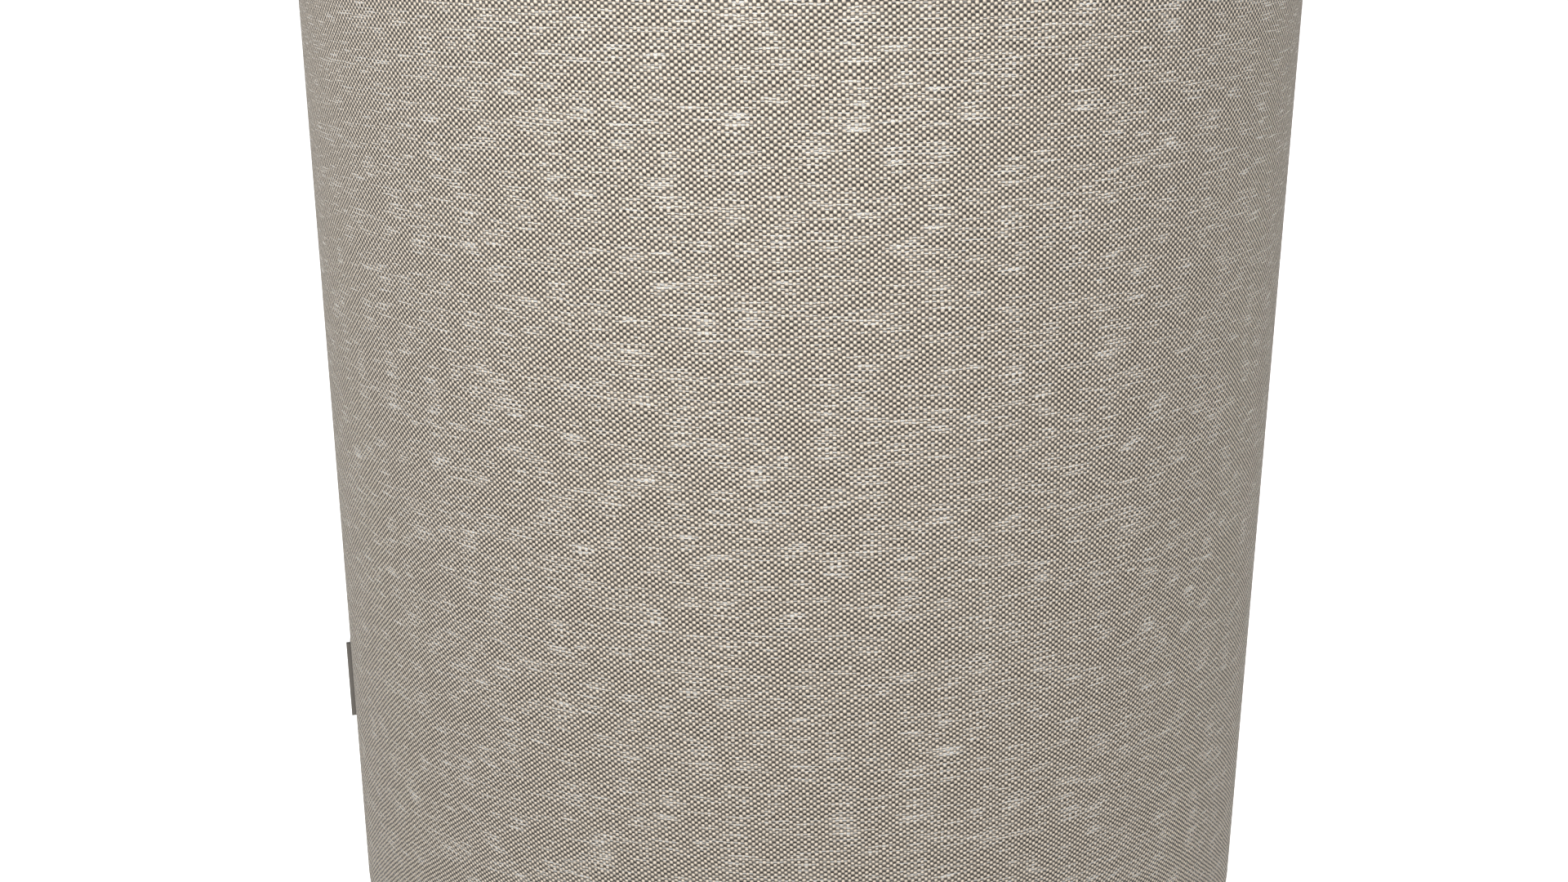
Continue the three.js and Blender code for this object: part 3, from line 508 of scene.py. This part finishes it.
def wrap(around, along):
    """Where a point of the flat cloth lies on the body: around from the front, along from the lower hem."""
    lower, upper = CLOTH_BOTTOM + EDGE_RADIUS, CLOTH_TOP - EDGE_RADIUS
    past_hem = along - HEM
    past_lower = past_hem - QUARTER
    past_straight = past_lower - STRAIGHT
    side = 0
    if past_hem < 0:
        r, z = HEM_RADIUS + along, CLOTH_BOTTOM
    elif past_lower < 0:
        turned = past_hem / EDGE_RADIUS
        side = math.sin(turned)
        r, z = EDGE_CENTRE + EDGE_RADIUS * side, lower - EDGE_RADIUS * math.cos(turned)
    elif past_straight < 0:
        side = 1
        r, z = BODY_RADIUS, lower + past_lower
    elif past_straight < QUARTER:
        turned = past_straight / EDGE_RADIUS
        side = math.cos(turned)
        r, z = EDGE_CENTRE + EDGE_RADIUS * side, upper + EDGE_RADIUS * math.sin(turned)
    else:
        r, z = EDGE_CENTRE - (past_straight - QUARTER), CLOTH_TOP
    from_seam = CLOTH_WIDTH / 2 - abs(around)
    r -= SEAM_SINK * side * math.exp(-((from_seam / SEAM_WIDTH) ** SEAM_SHARPNESS))
    angle = around / BODY_RADIUS
    return Vector((r * math.sin(angle), -r * math.cos(angle), z))


def spaced(*stops):
    """Numbers from the first stop to the last: each stop is a value and the largest step on the way to it."""
    values = [stops[0][0]]
    for value, step in stops[1:]:
        count = max(1, math.ceil(abs(value - values[-1]) / step))
        start = values[-1]
        values += [start + (value - start) * i / count for i in range(1, count + 1)]
    return values


def to_opening(around, along):
    """The nearest point of the rear panel's opening, and whether the given point lies inside it."""
    x = math.copysign(CLOTH_WIDTH / 2 - abs(around), around)
    y = along - OPENING_MIDDLE
    inner_x, inner_y = OPENING_HALF_WIDTH - REAR_CORNER, OPENING_HALF_HEIGHT - REAR_CORNER
    near = Vector((max(-inner_x, min(inner_x, x)), max(-inner_y, min(inner_y, y))))
    away = Vector((x, y)) - near
    inside = away.length < REAR_CORNER
    edge = near + away.normalized() * REAR_CORNER
    return math.copysign(CLOTH_WIDTH / 2 - abs(edge.x), around), edge.y + OPENING_MIDDLE, inside


def cloth_columns():
    """Places across the flat cloth, closest together at the seam, where its two edges roll inwards."""
    half = CLOTH_WIDTH / 2
    right = spaced((0, 0), (half - 20, 2.4), (half - 2.5, 1.1), (half - 0.8, 0.35), (half - SEAM_GAP, 0.14))
    return [-value for value in reversed(right[1:])] + right


def cloth_rows():
    """Places up the flat cloth, closest together where it curves and beside the opening."""
    straight = HEM + QUARTER
    past_opening = straight + 27
    return spaced((0, 0), (HEM, 0.9), (straight, 1.1), (past_opening, 1.1), (straight + STRAIGHT, 4),
                  (CLOTH_LENGTH - HEM, 1.1), (CLOTH_LENGTH, 0.9))


def cloth_face():
    """The cloth's outer face: a grid with the opening left out, and the points beside it moved to its edge."""
    columns, rows = cloth_columns(), cloth_rows()
    cells = [(i, k) for i in range(len(columns) - 1) for k in range(len(rows) - 1)]
    gone = set()
    for i, k in cells:
        middle = (columns[i] + columns[i + 1]) / 2, (rows[k] + rows[k + 1]) / 2
        if to_opening(*middle)[2]:
            gone.add((i, k))
    bm = bmesh.new()
    flat = bm.loops.layers.uv.new("cloth")
    made = {}
    for i, k in cells:
        if (i, k) in gone:
            continue
        corners = [(i, k), (i + 1, k), (i + 1, k + 1), (i, k + 1)]
        for corner in corners:
            if corner in made:
                continue
            around, along = columns[corner[0]], rows[corner[1]]
            beside = [(corner[0] - dx, corner[1] - dy) for dx in (0, 1) for dy in (0, 1)]
            if any(cell in gone for cell in beside):
                around, along, _ = to_opening(around, along)
            made[corner] = (bm.verts.new(wrap(around, along) * MM), around, along)
        face = bm.faces.new([made[corner][0] for corner in corners])
        for loop, corner in zip(face.loops, corners):
            loop[flat].uv = (made[corner][1] * MM, made[corner][2] * MM)
    mesh = bpy.data.meshes.new("fabric_cover")
    bm.to_mesh(mesh)
    bm.free()
    return mesh


def fabric_sleeve():
    """The cloth, cut flat, wrapped round the body and sewn up the back."""
    piece = add_object("fabric_cover", cloth_face(), woven_cloth())
    thicken = piece.modifiers.new("thickness", "SOLIDIFY")
    thicken.thickness = CLOTH_THICKNESS * MM
    thicken.offset = -1
    apply_modifiers(piece)
    return place(piece, "fabric", "fabric_sleeve")


# ---- Materials of the other pieces ---------------------------------------------------------------------

BADGE_GREY = (0.128, 0.117, 0.104)

MATERIALS = {
    "badge_metal": brushed("badge_metal", BADGE_GREY, 0.42, (60, 60, 9000), metallic=0.6),
    "trim_metal": brushed("trim_metal", (0.16, 0.148, 0.132), 0.34, (900, 900, 4000), metallic=0.85),
    "dark_plastic": grained("dark_plastic", (0.035, 0.034, 0.032), 0.55, 1400),
    "button_plastic": grained("button_plastic", (0.045, 0.043, 0.041), 0.5, 1600, 0.012),
    "base_plastic": grained("base_plastic", (0.022, 0.022, 0.022), 0.6, 1100, 0.03),
    "rear_plastic": grained("rear_plastic", (0.028, 0.027, 0.026), 0.55, 1300, 0.025),
    "inlet_plastic": grained("inlet_plastic", (0.012, 0.012, 0.013), 0.35, 900, 0.006),
    "frame_plastic": grained("frame_plastic", (0.025, 0.025, 0.027), 0.5, 700, 0.02),
    "switch_plastic": grained("switch_plastic", (0.015, 0.015, 0.015), 0.45, 900, 0.008),
    "foot_rubber": grained("foot_rubber", (0.018, 0.018, 0.018), 0.8, 1500, 0.03, 0.2),
    "reset_plastic": grained("reset_plastic", (0.42, 0.41, 0.38), 0.45, 1200, 0.008),
    "light_guide": grained("light_guide", (0.78, 0.78, 0.76), 0.35, 900, 0.004, 0.03,
                           finish={"Subsurface Weight": 0.3}),
    "ribbon_plastic": grained("ribbon_plastic", (0.6, 0.58, 0.52), 0.4, 900, 0.01),
    "harness_rubber": grained("harness_rubber", (0.015, 0.015, 0.015), 0.6, 900, 0.02),
    "lead_rubber": grained("lead_rubber", (0.32, 0.02, 0.015), 0.45, 900, 0.01),
    "capacitor_can": grained("capacitor_can", (0.02, 0.025, 0.045), 0.3, 500, 0.01),
    "frame_steel": grained("frame_steel", (0.03, 0.03, 0.032), 0.45, 1600, 0.02, 0.1, 0.3),
    "surround_rubber": grained("surround_rubber", (0.014, 0.014, 0.014), 0.65, 900, 0.01),
    "dome_silk": grained("dome_silk", (0.03, 0.03, 0.034), 0.55, 1800, 0.03),
    "magnet_metal": grained("magnet_metal", (0.06, 0.06, 0.064), 0.45, 600, 0.03, 0.25, 0.6),
    "screw_steel": brushed("screw_steel", (0.5, 0.5, 0.51), 0.3, (1500, 1500, 300)),
    "contact_metal": brushed("contact_metal", (0.62, 0.6, 0.55), 0.25, (2500, 200, 2500)),
    "heat_sink_metal": brushed("heat_sink_metal", (0.55, 0.56, 0.57), 0.38, (100, 3000, 3000)),
}


def circuit_board():
    """Green solder mask over a net of paler lines."""
    shader = Shader("circuit_board", (0.02, 0.1, 0.05), 0.35, finish={"Coat Weight": 0.3})
    spot = shader.position()
    tracks = shader.cells(shader.stretch(spot, (1, 1, 0.02)), 260.0, "DISTANCE_TO_EDGE")
    line = shader.range(tracks, 0.05, 0.09, 1.0, 0.0)
    shader.paint("Base Color", shader.mix(line, (0.012, 0.075, 0.035, 1), (0.03, 0.16, 0.07, 1)))
    shader.bump(line, 0.03)
    return shader.material


def copper_winding():
    """Fine turns of enamelled wire about the coil's own axis, along Y, with painted shade between turns."""
    shader = Shader("coil_copper", (0.6, 0.24, 0.09), 0.3, 0.9, {"Coat Weight": 0.3})
    wire_pitch = 0.0003
    _, y, _ = shader.split(shader.position())
    turns = shader.math("SINE", shader.math("MULTIPLY", y, 2 * math.pi / wire_pitch))
    lit_by_height = shader.range(turns, -1, 1)
    # Painted shade: the copper darkens in the grooves between turns and is lightest on their crests.
    shader.paint("Base Color", shader.mix(lit_by_height, (0.3, 0.1, 0.035, 1), (0.7, 0.3, 0.12, 1)))
    shader.bump(turns, 0.04)
    return shader.material


def transformer_tape():
    """Yellow tape in overlapping turns round the winding, with painted shade at each turn's sunken lower edge.
    """
    shader = Shader("winding", (0.6, 0.42, 0.05), 0.35, finish={"Coat Weight": 0.2})
    tape_width = 0.003
    _, _, z = shader.split(shader.position())
    lap = shader.math("FRACT", shader.math("MULTIPLY", z, 1 / tape_width))
    # Painted shade: each lap is darkest where it sits lowest, at its lower edge, and lightest at its top.
    shader.paint("Base Color", shader.mix(lap, (0.5, 0.33, 0.03, 1), (0.68, 0.5, 0.08, 1)))
    shader.bump(lap, 0.08)
    return shader.material


def paper_pulp():
    """Pressed paper with fine streaky fibres."""
    shader = Shader("cone_paper", (0.03, 0.03, 0.032), 0.85, finish={"Sheen Weight": 0.1})
    fibres = shader.noise(shader.stretch(shader.position(), (900, 300, 500)), 1.0, 6.0, 0.75)
    shader.paint("Base Color", shader.mix(fibres, (0.018, 0.018, 0.02, 1), (0.06, 0.06, 0.062, 1)))
    shader.bump(fibres, 0.06)
    return shader.material


def open_foam():
    """Dark foam with small open pores, each darkened towards its middle with painted shade."""
    shader = Shader("gasket_foam", (0.1, 0.1, 0.105), 0.95)
    pores = shader.cells(shader.position(), 1500.0)
    wall = shader.range(pores, 0.1, 0.6)
    # Painted shade: each pore darkens towards its middle, and the walls between pores stay lighter.
    shader.paint("Base Color", shader.mix(wall, (0.03, 0.03, 0.032, 1), (0.16, 0.16, 0.165, 1)))
    shader.bump(pores, 0.2)
    return shader.material


def spider_cloth():
    """Resin-stiffened weave, in a grid across the coil's axis, with painted shade on its sunken cells."""
    shader = Shader("spider_cloth", (0.5, 0.31, 0.1), 0.75)
    thread_pitch = 0.0006
    x, _, z = shader.split(shader.position())
    wave_x = shader.math("SINE", shader.math("MULTIPLY", x, 2 * math.pi / thread_pitch))
    wave_z = shader.math("SINE", shader.math("MULTIPLY", z, 2 * math.pi / thread_pitch))
    threads = shader.math("MULTIPLY", wave_x, wave_z)
    lit_by_height = shader.range(threads, -1, 1)
    # Painted shade: the cells where the weave sinks are darker, and the raised ones lighter.
    shader.paint("Base Color", shader.mix(lit_by_height, (0.28, 0.16, 0.04, 1), (0.6, 0.4, 0.15, 1)))
    shader.bump(threads, 0.05)
    return shader.material


MATERIALS["circuit_board"] = circuit_board()
MATERIALS["coil_copper"] = copper_winding()
MATERIALS["winding"] = transformer_tape()
MATERIALS["cone_paper"] = paper_pulp()
MATERIALS["gasket_foam"] = open_foam()
MATERIALS["spider_cloth"] = spider_cloth()
PRINT = grained("printed_mark", (0.62, 0.61, 0.58), 0.5, 2000, 0.002, 0.04)
THREAD = grained("seam_thread", (0.42, 0.38, 0.32), 0.8, 2500, 0.02)


def dress_cad_nodes():
    """Gives every CAD node the finish of its slot, except the cloth's, whose node fabric_cover replaces."""
    for part in frame["record"]["subparts"]:
        material = MATERIALS.get(part["material_slot"])
        if material is None:
            continue
        data = frame["nodes"][part["node"]].data
        data.materials.clear()
        data.materials.append(material)


# ---- Seam ----------------------------------------------------------------------------------------------


STITCH_SPACING = 2.4
STITCH_HALF_SPAN = 0.85
STITCH_RISE = 0.5
THREAD_RADIUS = 0.16


def stitch_path(z):
    """A slanted stitch across the seam: it lies on the cloth at its ends and dips into the groove between."""
    steps = 8
    path = []
    for step in range(steps + 1):
        t = -1 + 2 * step / steps
        bow = 0.12 - 0.42 * (1 - t * t) ** 2 + 0.05 * (1 - t ** 8)
        path.append(Vector((STITCH_HALF_SPAN * t, BODY_RADIUS + bow - 0.1, z + STITCH_RISE * t)))
    return path


def add_thread(bm, path):
    """A round thread along the path, thinner at its two ends."""
    sides = 8
    rings = []
    for i, point in enumerate(path):
        ahead = path[min(i + 1, len(path) - 1)] - path[max(i - 1, 0)]
        across = ahead.normalized().cross(Vector((0, 1, 0))).normalized()
        outward = across.cross(ahead).normalized()
        taper = 0.55 if i in (0, len(path) - 1) else 1.0
        ring = []
        for k in range(sides):
            angle = 2 * math.pi * k / sides
            spoke = (across * math.cos(angle) + outward * math.sin(angle)) * THREAD_RADIUS * taper
            ring.append(bm.verts.new((point + spoke) * MM))
        rings.append(ring)
    for ring, following in zip(rings, rings[1:]):
        for k in range(sides):
            after = (k + 1) % sides
            bm.faces.new((ring[k], ring[after], following[after], following[k]))
    bm.faces.new(rings[0])
    bm.faces.new(rings[-1])


def seam_stitches():
    """A ladder of stitches that draws the cloth's two edges together above the rear panel."""
    bm = bmesh.new()
    z = REAR_TOP + 1.8
    while z < CLOTH_TOP - EDGE_RADIUS:
        add_thread(bm, stitch_path(z))
        z += STITCH_SPACING
    piece = add_object("seam_stitches", mesh_from(bm, "seam_stitches"), THREAD)
    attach(piece, CASING)
    return piece


# ---- Badge ---------------------------------------------------------------------------------------------


BADGE_Z = 44.3
BADGE_HALF_HEIGHT = 6.05
BADGE_HALF_ANGLE = math.radians(13)
BADGE_SUNK = 0.4
BADGE_PROUD = 0.15
BAR_PROUD = 0.68
BAR_WIDTH = 0.7


def badge():
    """A blank curved plate, nearly level with the cloth, between two end bars that stand proud of it."""
    inner, face, bar_face = BODY_RADIUS - BADGE_SUNK, BODY_RADIUS + BADGE_PROUD, BODY_RADIUS + BAR_PROUD
    end = BADGE_HALF_ANGLE
    flat = end - BAR_WIDTH / BODY_RADIUS
    steps = 40
    outside = [(-end, bar_face), (-flat, bar_face)]
    outside += [(-flat + 2 * flat * i / steps, face) for i in range(steps + 1)]
    outside += [(flat, bar_face), (end, bar_face)]
    inside = [(end - 2 * end * i / steps, inner) for i in range(steps + 1)]
    outline = [(r * math.sin(angle), -r * math.cos(angle)) for angle, r in outside + inside]
    low, high = BADGE_Z - BADGE_HALF_HEIGHT, BADGE_Z + BADGE_HALF_HEIGHT
    piece = extrude("badge_plate", outline, low, high, MATERIALS["badge_metal"])
    soften(piece, 0.06)
    return place(piece, "badge_metal", "badge")


# ---- Top -----------------------------------------------------------------------------------------------


def trim_ring():
    """The metal ring round the top, over the cloth's upper hem."""
    loop = [[56.5, 184.4], [58.4, 184.4], [58.4, 188.3], [61.4, 188.3], [61.4, 189.1], [60.4, 190],
            [57.3, 190], [56.5, 189.4]]
    piece = turn("trim_ring_top", loop, MATERIALS["trim_metal"], FINE_ROUND, 0.35)
    return place(piece, "trim_metal", "trim_ring")


# Each outer button's angle on the ring, in degrees.
OUTER_BUTTONS = {
    "volume_up_button": 0,
    "mic_mute_button": 90,
    "volume_down_button": 180,
    "source_button": 270,
}
MICROPHONE_ANGLES = (45, 135, 225, 315)
PANEL_EDGE = 189.2
PANEL_FACE = 188.2
BUTTON_HOLE = 7.8
ACTION_HOLE = 11.3


def hole_cutter(radius, sides=72, flare=0.3):
    """A round cutter through the panel with a small flare at its mouth."""
    mouth = radius + 2 * flare
    low, high = 184, 191
    loop = [[0, low], [radius, low], [radius, PANEL_FACE - flare], [mouth, PANEL_FACE + flare],
            [mouth, high], [0, high]]
    return turn("cutter", loop, sides=sides)


def control_panel():
    """The dished top with its button holes, its microphone holes and the groove of the light ring."""
    loop = [[0, 186], [53.5, 186], [53.5, 181], [55.6, 181], [55.6, 183], [56.2, 184.6],
            [56.2, PANEL_EDGE], [50.5, PANEL_EDGE]]
    dish_steps = 10
    for step in range(1, dish_steps + 1):
        t = step / dish_steps
        ease = t * t * (3 - 2 * t)
        loop.append([50.5 - 6.5 * t, PANEL_EDGE - ease])
    loop += [[18.3, PANEL_FACE], [18.3, 187], [15.7, 187], [15.7, PANEL_FACE], [0, PANEL_FACE]]
    piece = turn("top_panel", loop, MATERIALS["dark_plastic"], FINE_ROUND)
    cutters = [hole_cutter(ACTION_HOLE, 96)]
    for degrees in OUTER_BUTTONS.values():
        x, y = on_ring(BUTTON_RING, degrees)
        cutters.append(shift(hole_cutter(BUTTON_HOLE), x, y))
    for degrees in MICROPHONE_ANGLES:
        x, y = on_ring(MICROPHONE_RING, degrees)
        cutters.append(shift(hole_cutter(0.8, 24, 0.12), x, y))
    carve(piece, *cutters)
    return place(piece, "dark_plastic", "control_panel")


def light_ring():
    """The milky lens round the action button."""
    loop = [[16, 187.3], [18, 187.3], [18, PANEL_FACE], [16, PANEL_FACE]]
    piece = turn("light_ring_lens", loop, MATERIALS["light_guide"], radius=0.2)
    return place(piece, "light_guide", "light_ring")


CAP_TOP = 188.6


def button_cap(name, radius):
    """A cap with a rounded edge and a shallow dish for a fingertip, over its flange and stem."""
    loop = [[0, 183.8], [2, 183.8], [2, 184.7], [radius + 1.4, 184.7], [radius + 1.4, 185.7],
            [radius, 185.7], [radius, CAP_TOP - 0.45], [radius - 0.13, CAP_TOP - 0.15],
            [radius - 0.45, CAP_TOP]]
    dish = radius - 0.9
    dish_depth = 0.3
    dish_steps = 10
    for step in range(1, dish_steps + 1):
        r = dish * (1 - step / dish_steps)
        loop.append([r, CAP_TOP - dish_depth * (1 - (r / dish) ** 2)])
    return turn(name, loop, MATERIALS["button_plastic"], 96)


MARK_Z = 188.27
MARK_HEIGHT = 0.05


def flat_mark(outline):
    return extrude("mark", outline, MARK_Z, MARK_Z + MARK_HEIGHT, PRINT)


def bar_mark(half_length, half_width, degrees=0.0, x=0.0, y=0.0):
    """A round-ended bar."""
    piece = flat_mark(stadium(half_length, half_width))
    transform(piece, Matrix.Rotation(math.radians(degrees), 4, "Z"))
    return shift(piece, x, y)


def arc_mark(radius, half_width, first, last, x=0.0, y=0.0):
    """Part of a ring, from the first angle to the last, in degrees."""
    steps = 24
    angles = [first + (last - first) * i / steps for i in range(steps + 1)]
    outline = [on_ring(radius + half_width, angle) for angle in angles]
    outline += [on_ring(radius - half_width, angle) for angle in reversed(angles)]
    return shift(flat_mark(outline), x, y)


def microphone_mark():
    """A struck-through microphone: a capsule in a cradle on a short stem."""
    capsule = bar_mark(1.25, 0.7, 90, y=0.6)
    cradle = arc_mark(1.35, 0.16, 180, 360, y=0.45)
    stem = bar_mark(0.55, 0.16, 90, y=-1.35)
    foot = bar_mark(0.8, 0.16, y=-1.85)
    stroke = bar_mark(2.7, 0.16, 45)
    return [capsule, cradle, stem, foot, stroke]


def source_mark():
    """A dot between two pairs of waves."""
    marks = [flat_mark(circle(0.5, 32))]
    for middle in (0, 180):
        for radius in (1.4, 2.3):
            marks.append(arc_mark(radius, 0.17, middle - 50, middle + 50))
    return marks


MARKS = {
    "volume_up_button": lambda: [bar_mark(2.3, 0.22), bar_mark(2.3, 0.22, 90)],
    "volume_down_button": lambda: [bar_mark(2.3, 0.22)],
    "mic_mute_button": microphone_mark,
    "source_button": source_mark,
}


def action_button():
    """The large middle button, marked with a dot."""
    cap = button_cap("action_button_cap", 11)
    place(cap, "button_plastic", "action_button", body="action_button")
    dot = joined("action_mark", [flat_mark(circle(0.9, 40))])
    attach(dot, "action_button")


def outer_buttons():
    """The four buttons on the ring, each with its sign."""
    for name, degrees in OUTER_BUTTONS.items():
        x, y = on_ring(BUTTON_RING, degrees)
        cap = shift(button_cap(name + "_cap", 7.5), x, y)
        place(cap, "button_plastic", name, body=name)
        mark = joined(name.replace("button", "mark"), MARKS[name]())
        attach(shift(mark, x, y, 0.03), name)


# ---- Back ----------------------------------------------------------------------------------------------


def rear_panel():
    """The recessed inlet panel, whose rim follows the body's curve."""
    half_height = (REAR_TOP - REAR_BOTTOM) / 2
    outline = rounded_rectangle(REAR_HALF_WIDTH, half_height, REAR_CORNER)
    piece = extrude("rear_panel_tray", outline, 60.5, 76, MATERIALS["rear_plastic"])
    on_back(piece, 0, REAR_MIDDLE)
    outside = BODY_RADIUS - REAR_SUNK
    boolean(piece, "INTERSECT", [turn("outside", [[0, 5], [outside, 5], [outside, 50], [0, 50]], sides=360)])
    hollow = rounded_rectangle(REAR_HALF_WIDTH - REAR_WALL, half_height - REAR_WALL, REAR_CORNER - 1.2)
    recess = on_back(extrude("recess", hollow, REAR_FLOOR, 80), 0, REAR_MIDDLE)
    window = on_back(extrude("window", stadium(9.6, 5.3), 55, 80), INLET_X, INLET_Z)
    pinhole = on_back(extrude("pinhole", circle(1.9, 40), 55, 80), RESET_X, RESET_Z)
    carve(piece, recess, window, pinhole)
    soften(piece, 0.25)
    return place(piece, "rear_plastic", "rear_panel")


def power_inlet():
    """A two-pole inlet: a round-ended shroud with a flange and a deep socket."""
    piece = extrude("inlet_shroud", stadium(9.3, 5), 46, 62.3, MATERIALS["inlet_plastic"])
    boolean(piece, "UNION", [extrude("flange", rounded_rectangle(10.3, 6.4, 0.8), 57.6, 60.2)])
    carve(piece, extrude("socket", stadium(8.3, 4.1), 50.3, 66))
    soften(piece, 0.2)
    on_back(piece, INLET_X, INLET_Z)
    return place(piece, "inlet_plastic", "power_inlet")


def inlet_pins():
    """Two round-ended contacts inside the socket."""
    for name, side in (("inlet_pin_left", -1), ("inlet_pin_right", 1)):
        loop = [[0, 43], [1.2, 43], [1.2, 58.2], [1.05, 58.65], [0.7, 58.92], [0, 59]]
        pin = turn(name + "_contact", loop, MATERIALS["contact_metal"], 40)
        on_back(pin, INLET_X + side * PIN_OFFSET, INLET_Z)
        place(pin, "contact_metal", name)


def reset_button():
    """A small round button, sunk in its hole, with a flange behind the panel."""
    loop = [[0, 54.5], [1.6, 54.5], [1.6, 57.5], [2.8, 57.5], [2.8, 60.2], [1.6, 60.2], [1.6, 61.5],
            [1.4, 61.8], [0.8, 61.9], [0, 61.9]]
    piece = turn("reset_button_pin", loop, MATERIALS["reset_plastic"], 48)
    on_back(piece, RESET_X, RESET_Z)
    return place(piece, "reset_plastic", "reset_button", body="reset_button")


# ---- Base ----------------------------------------------------------------------------------------------


def foot_ring():
    """The rubber foot, with fine grip ridges on its underside."""
    loop = [[46.3, 2.1], [46.3, 3.7], [53.7, 3.7], [53.7, 2.1], [54.5, 2.1], [54.5, 0.9], [53.9, 0.2],
            [53.2, 0]]
    ridges = 6
    first, last = 52.6, 47.4
    width = (first - last) / (ridges - 1)
    for i in range(ridges - 1):
        r = first - i * width
        loop += [[r, 0], [r - 0.2 * width, 0.25], [r - 0.5 * width, 0.25], [r - 0.7 * width, 0]]
    loop += [[46.8, 0], [46.1, 0.2], [45.5, 0.9], [45.5, 2.1]]
    piece = turn("foot_pad", loop, MATERIALS["foot_rubber"], FINE_ROUND)
    return place(piece, "foot_rubber", "foot_ring")


SCREWS = {"base_screw_1": 45, "base_screw_2": 135, "base_screw_3": 225, "base_screw_4": 315}
SCREW_RING = 38


def base_cover():
    """The base plate, with a groove for the foot and a counterbore for each screw."""
    loop = [[0, 6.4], [56.2, 6.4], [56.2, 2.7], [55.9, 2.4], [54.5, 2.4], [54.5, 4], [45.5, 4], [45.5, 2.4],
            [27, 2.4], [26.6, 2.75], [0, 2.75]]
    bore = [[0, 1], [3.7, 1], [3.4, 2.7], [3.4, 4.6], [1.8, 4.6], [1.8, 8], [0, 8]]
    piece = turn("base_plate", loop, MATERIALS["base_plastic"], FINE_ROUND)
    cutters = []
    for degrees in SCREWS.values():
        x, y = on_ring(SCREW_RING, degrees)
        cutters.append(shift(turn("counterbore", bore, sides=48), x, y))
    carve(piece, *cutters)
    return place(piece, "base_plastic", "base_cover")


def base_screws():
    """Pan-head screws with a six-lobed recess."""
    loop = [[0, 2.9], [2.3, 2.9], [2.8, 3.1], [3, 3.5], [3, 4.3], [1.5, 4.3], [1.5, 15.4], [0.8, 16],
            [0, 16]]
    for name, degrees in SCREWS.items():
        piece = turn(name + "_screw", loop, MATERIALS["screw_steel"], 40)
        carve(piece, extrude("recess", lobed_circle(1.25, 0.13, 6, 48), 2, 3.9))
        x, y = on_ring(SCREW_RING, degrees)
        place(shift(piece, x, y), "screw_steel", name)


# ---- Stage ---------------------------------------------------------------------------------------------


# The sensor and the lens are in millimetres, and the places and the lamps' sizes in metres.
SENSOR_WIDTH = 36
LENS = 42.24
CAMERA_PLACE = (0.27195, -0.00224, 0.1678)
CAMERA_TILT = 18.35  # degrees below level
AIM = Vector((0, 0, 0.1))
KEY_PLACE, KEY_SIZE, KEY_POWER = (0.34, -0.05, 0.36), 0.2, 1.35
BACK_PLACE, BACK_SIZE, BACK_POWER = (-0.8, 0.5, 0.9), 1.0, 3.0
AMBIENT = 0.47


def camera():
    """Looks at the object's +X side from a little above, and close by."""
    data = bpy.data.cameras.new("camera")
    data.sensor_width = SENSOR_WIDTH
    data.lens = LENS
    data.clip_start = 0.01
    made = bpy.data.objects.new("camera", data)
    made.location = CAMERA_PLACE
    made.rotation_euler = (math.radians(90 - CAMERA_TILT), 0, math.radians(90))
    bpy.context.scene.collection.objects.link(made)
    bpy.context.scene.camera = made


def area_light(name, location, size, power):
    """A round lamp that points at the object's middle."""
    data = bpy.data.lights.new(name, "AREA")
    data.shape = "DISK"
    data.size = size
    data.energy = power
    made = bpy.data.objects.new(name, data)
    made.location = location
    made.rotation_euler = (AIM - Vector(location)).to_track_quat("-Z", "Y").to_euler()
    made.visible_camera = False
    bpy.context.scene.collection.objects.link(made)


def floor():
    """A white floor that stays white in shadow and throws no light back on the object."""
    bm = bmesh.new()
    bmesh.ops.create_grid(bm, x_segments=1, y_segments=1, size=6)
    finish = {"Emission Strength": 0.85, "Emission Color": (1, 1, 1, 1)}
    shader = Shader("floor", (0.9, 0.9, 0.9), 0.9, finish=finish)
    made = add_object("floor", mesh_from(bm, "floor"), shader.material)
    made.visible_diffuse = False


def stage():
    """The floor, an even white world and two lamps."""
    floor()
    world = bpy.data.worlds.new("studio")
    world.use_nodes = True
    background = world.node_tree.nodes["Background"]
    background.inputs["Color"].default_value = (1, 1, 1, 1)
    background.inputs["Strength"].default_value = AMBIENT
    bpy.context.scene.world = world
    bpy.context.scene.view_settings.view_transform = "Standard"
    area_light("key", KEY_PLACE, KEY_SIZE, KEY_POWER)
    area_light("back", BACK_PLACE, BACK_SIZE, BACK_POWER)


# ---- Build ---------------------------------------------------------------------------------------------

dress_cad_nodes()
fabric_sleeve()
seam_stitches()
badge()
trim_ring()
control_panel()
light_ring()
action_button()
outer_buttons()
rear_panel()
power_inlet()
inlet_pins()
reset_button()
foot_ring()
base_cover()
base_screws()
camera()
stage()
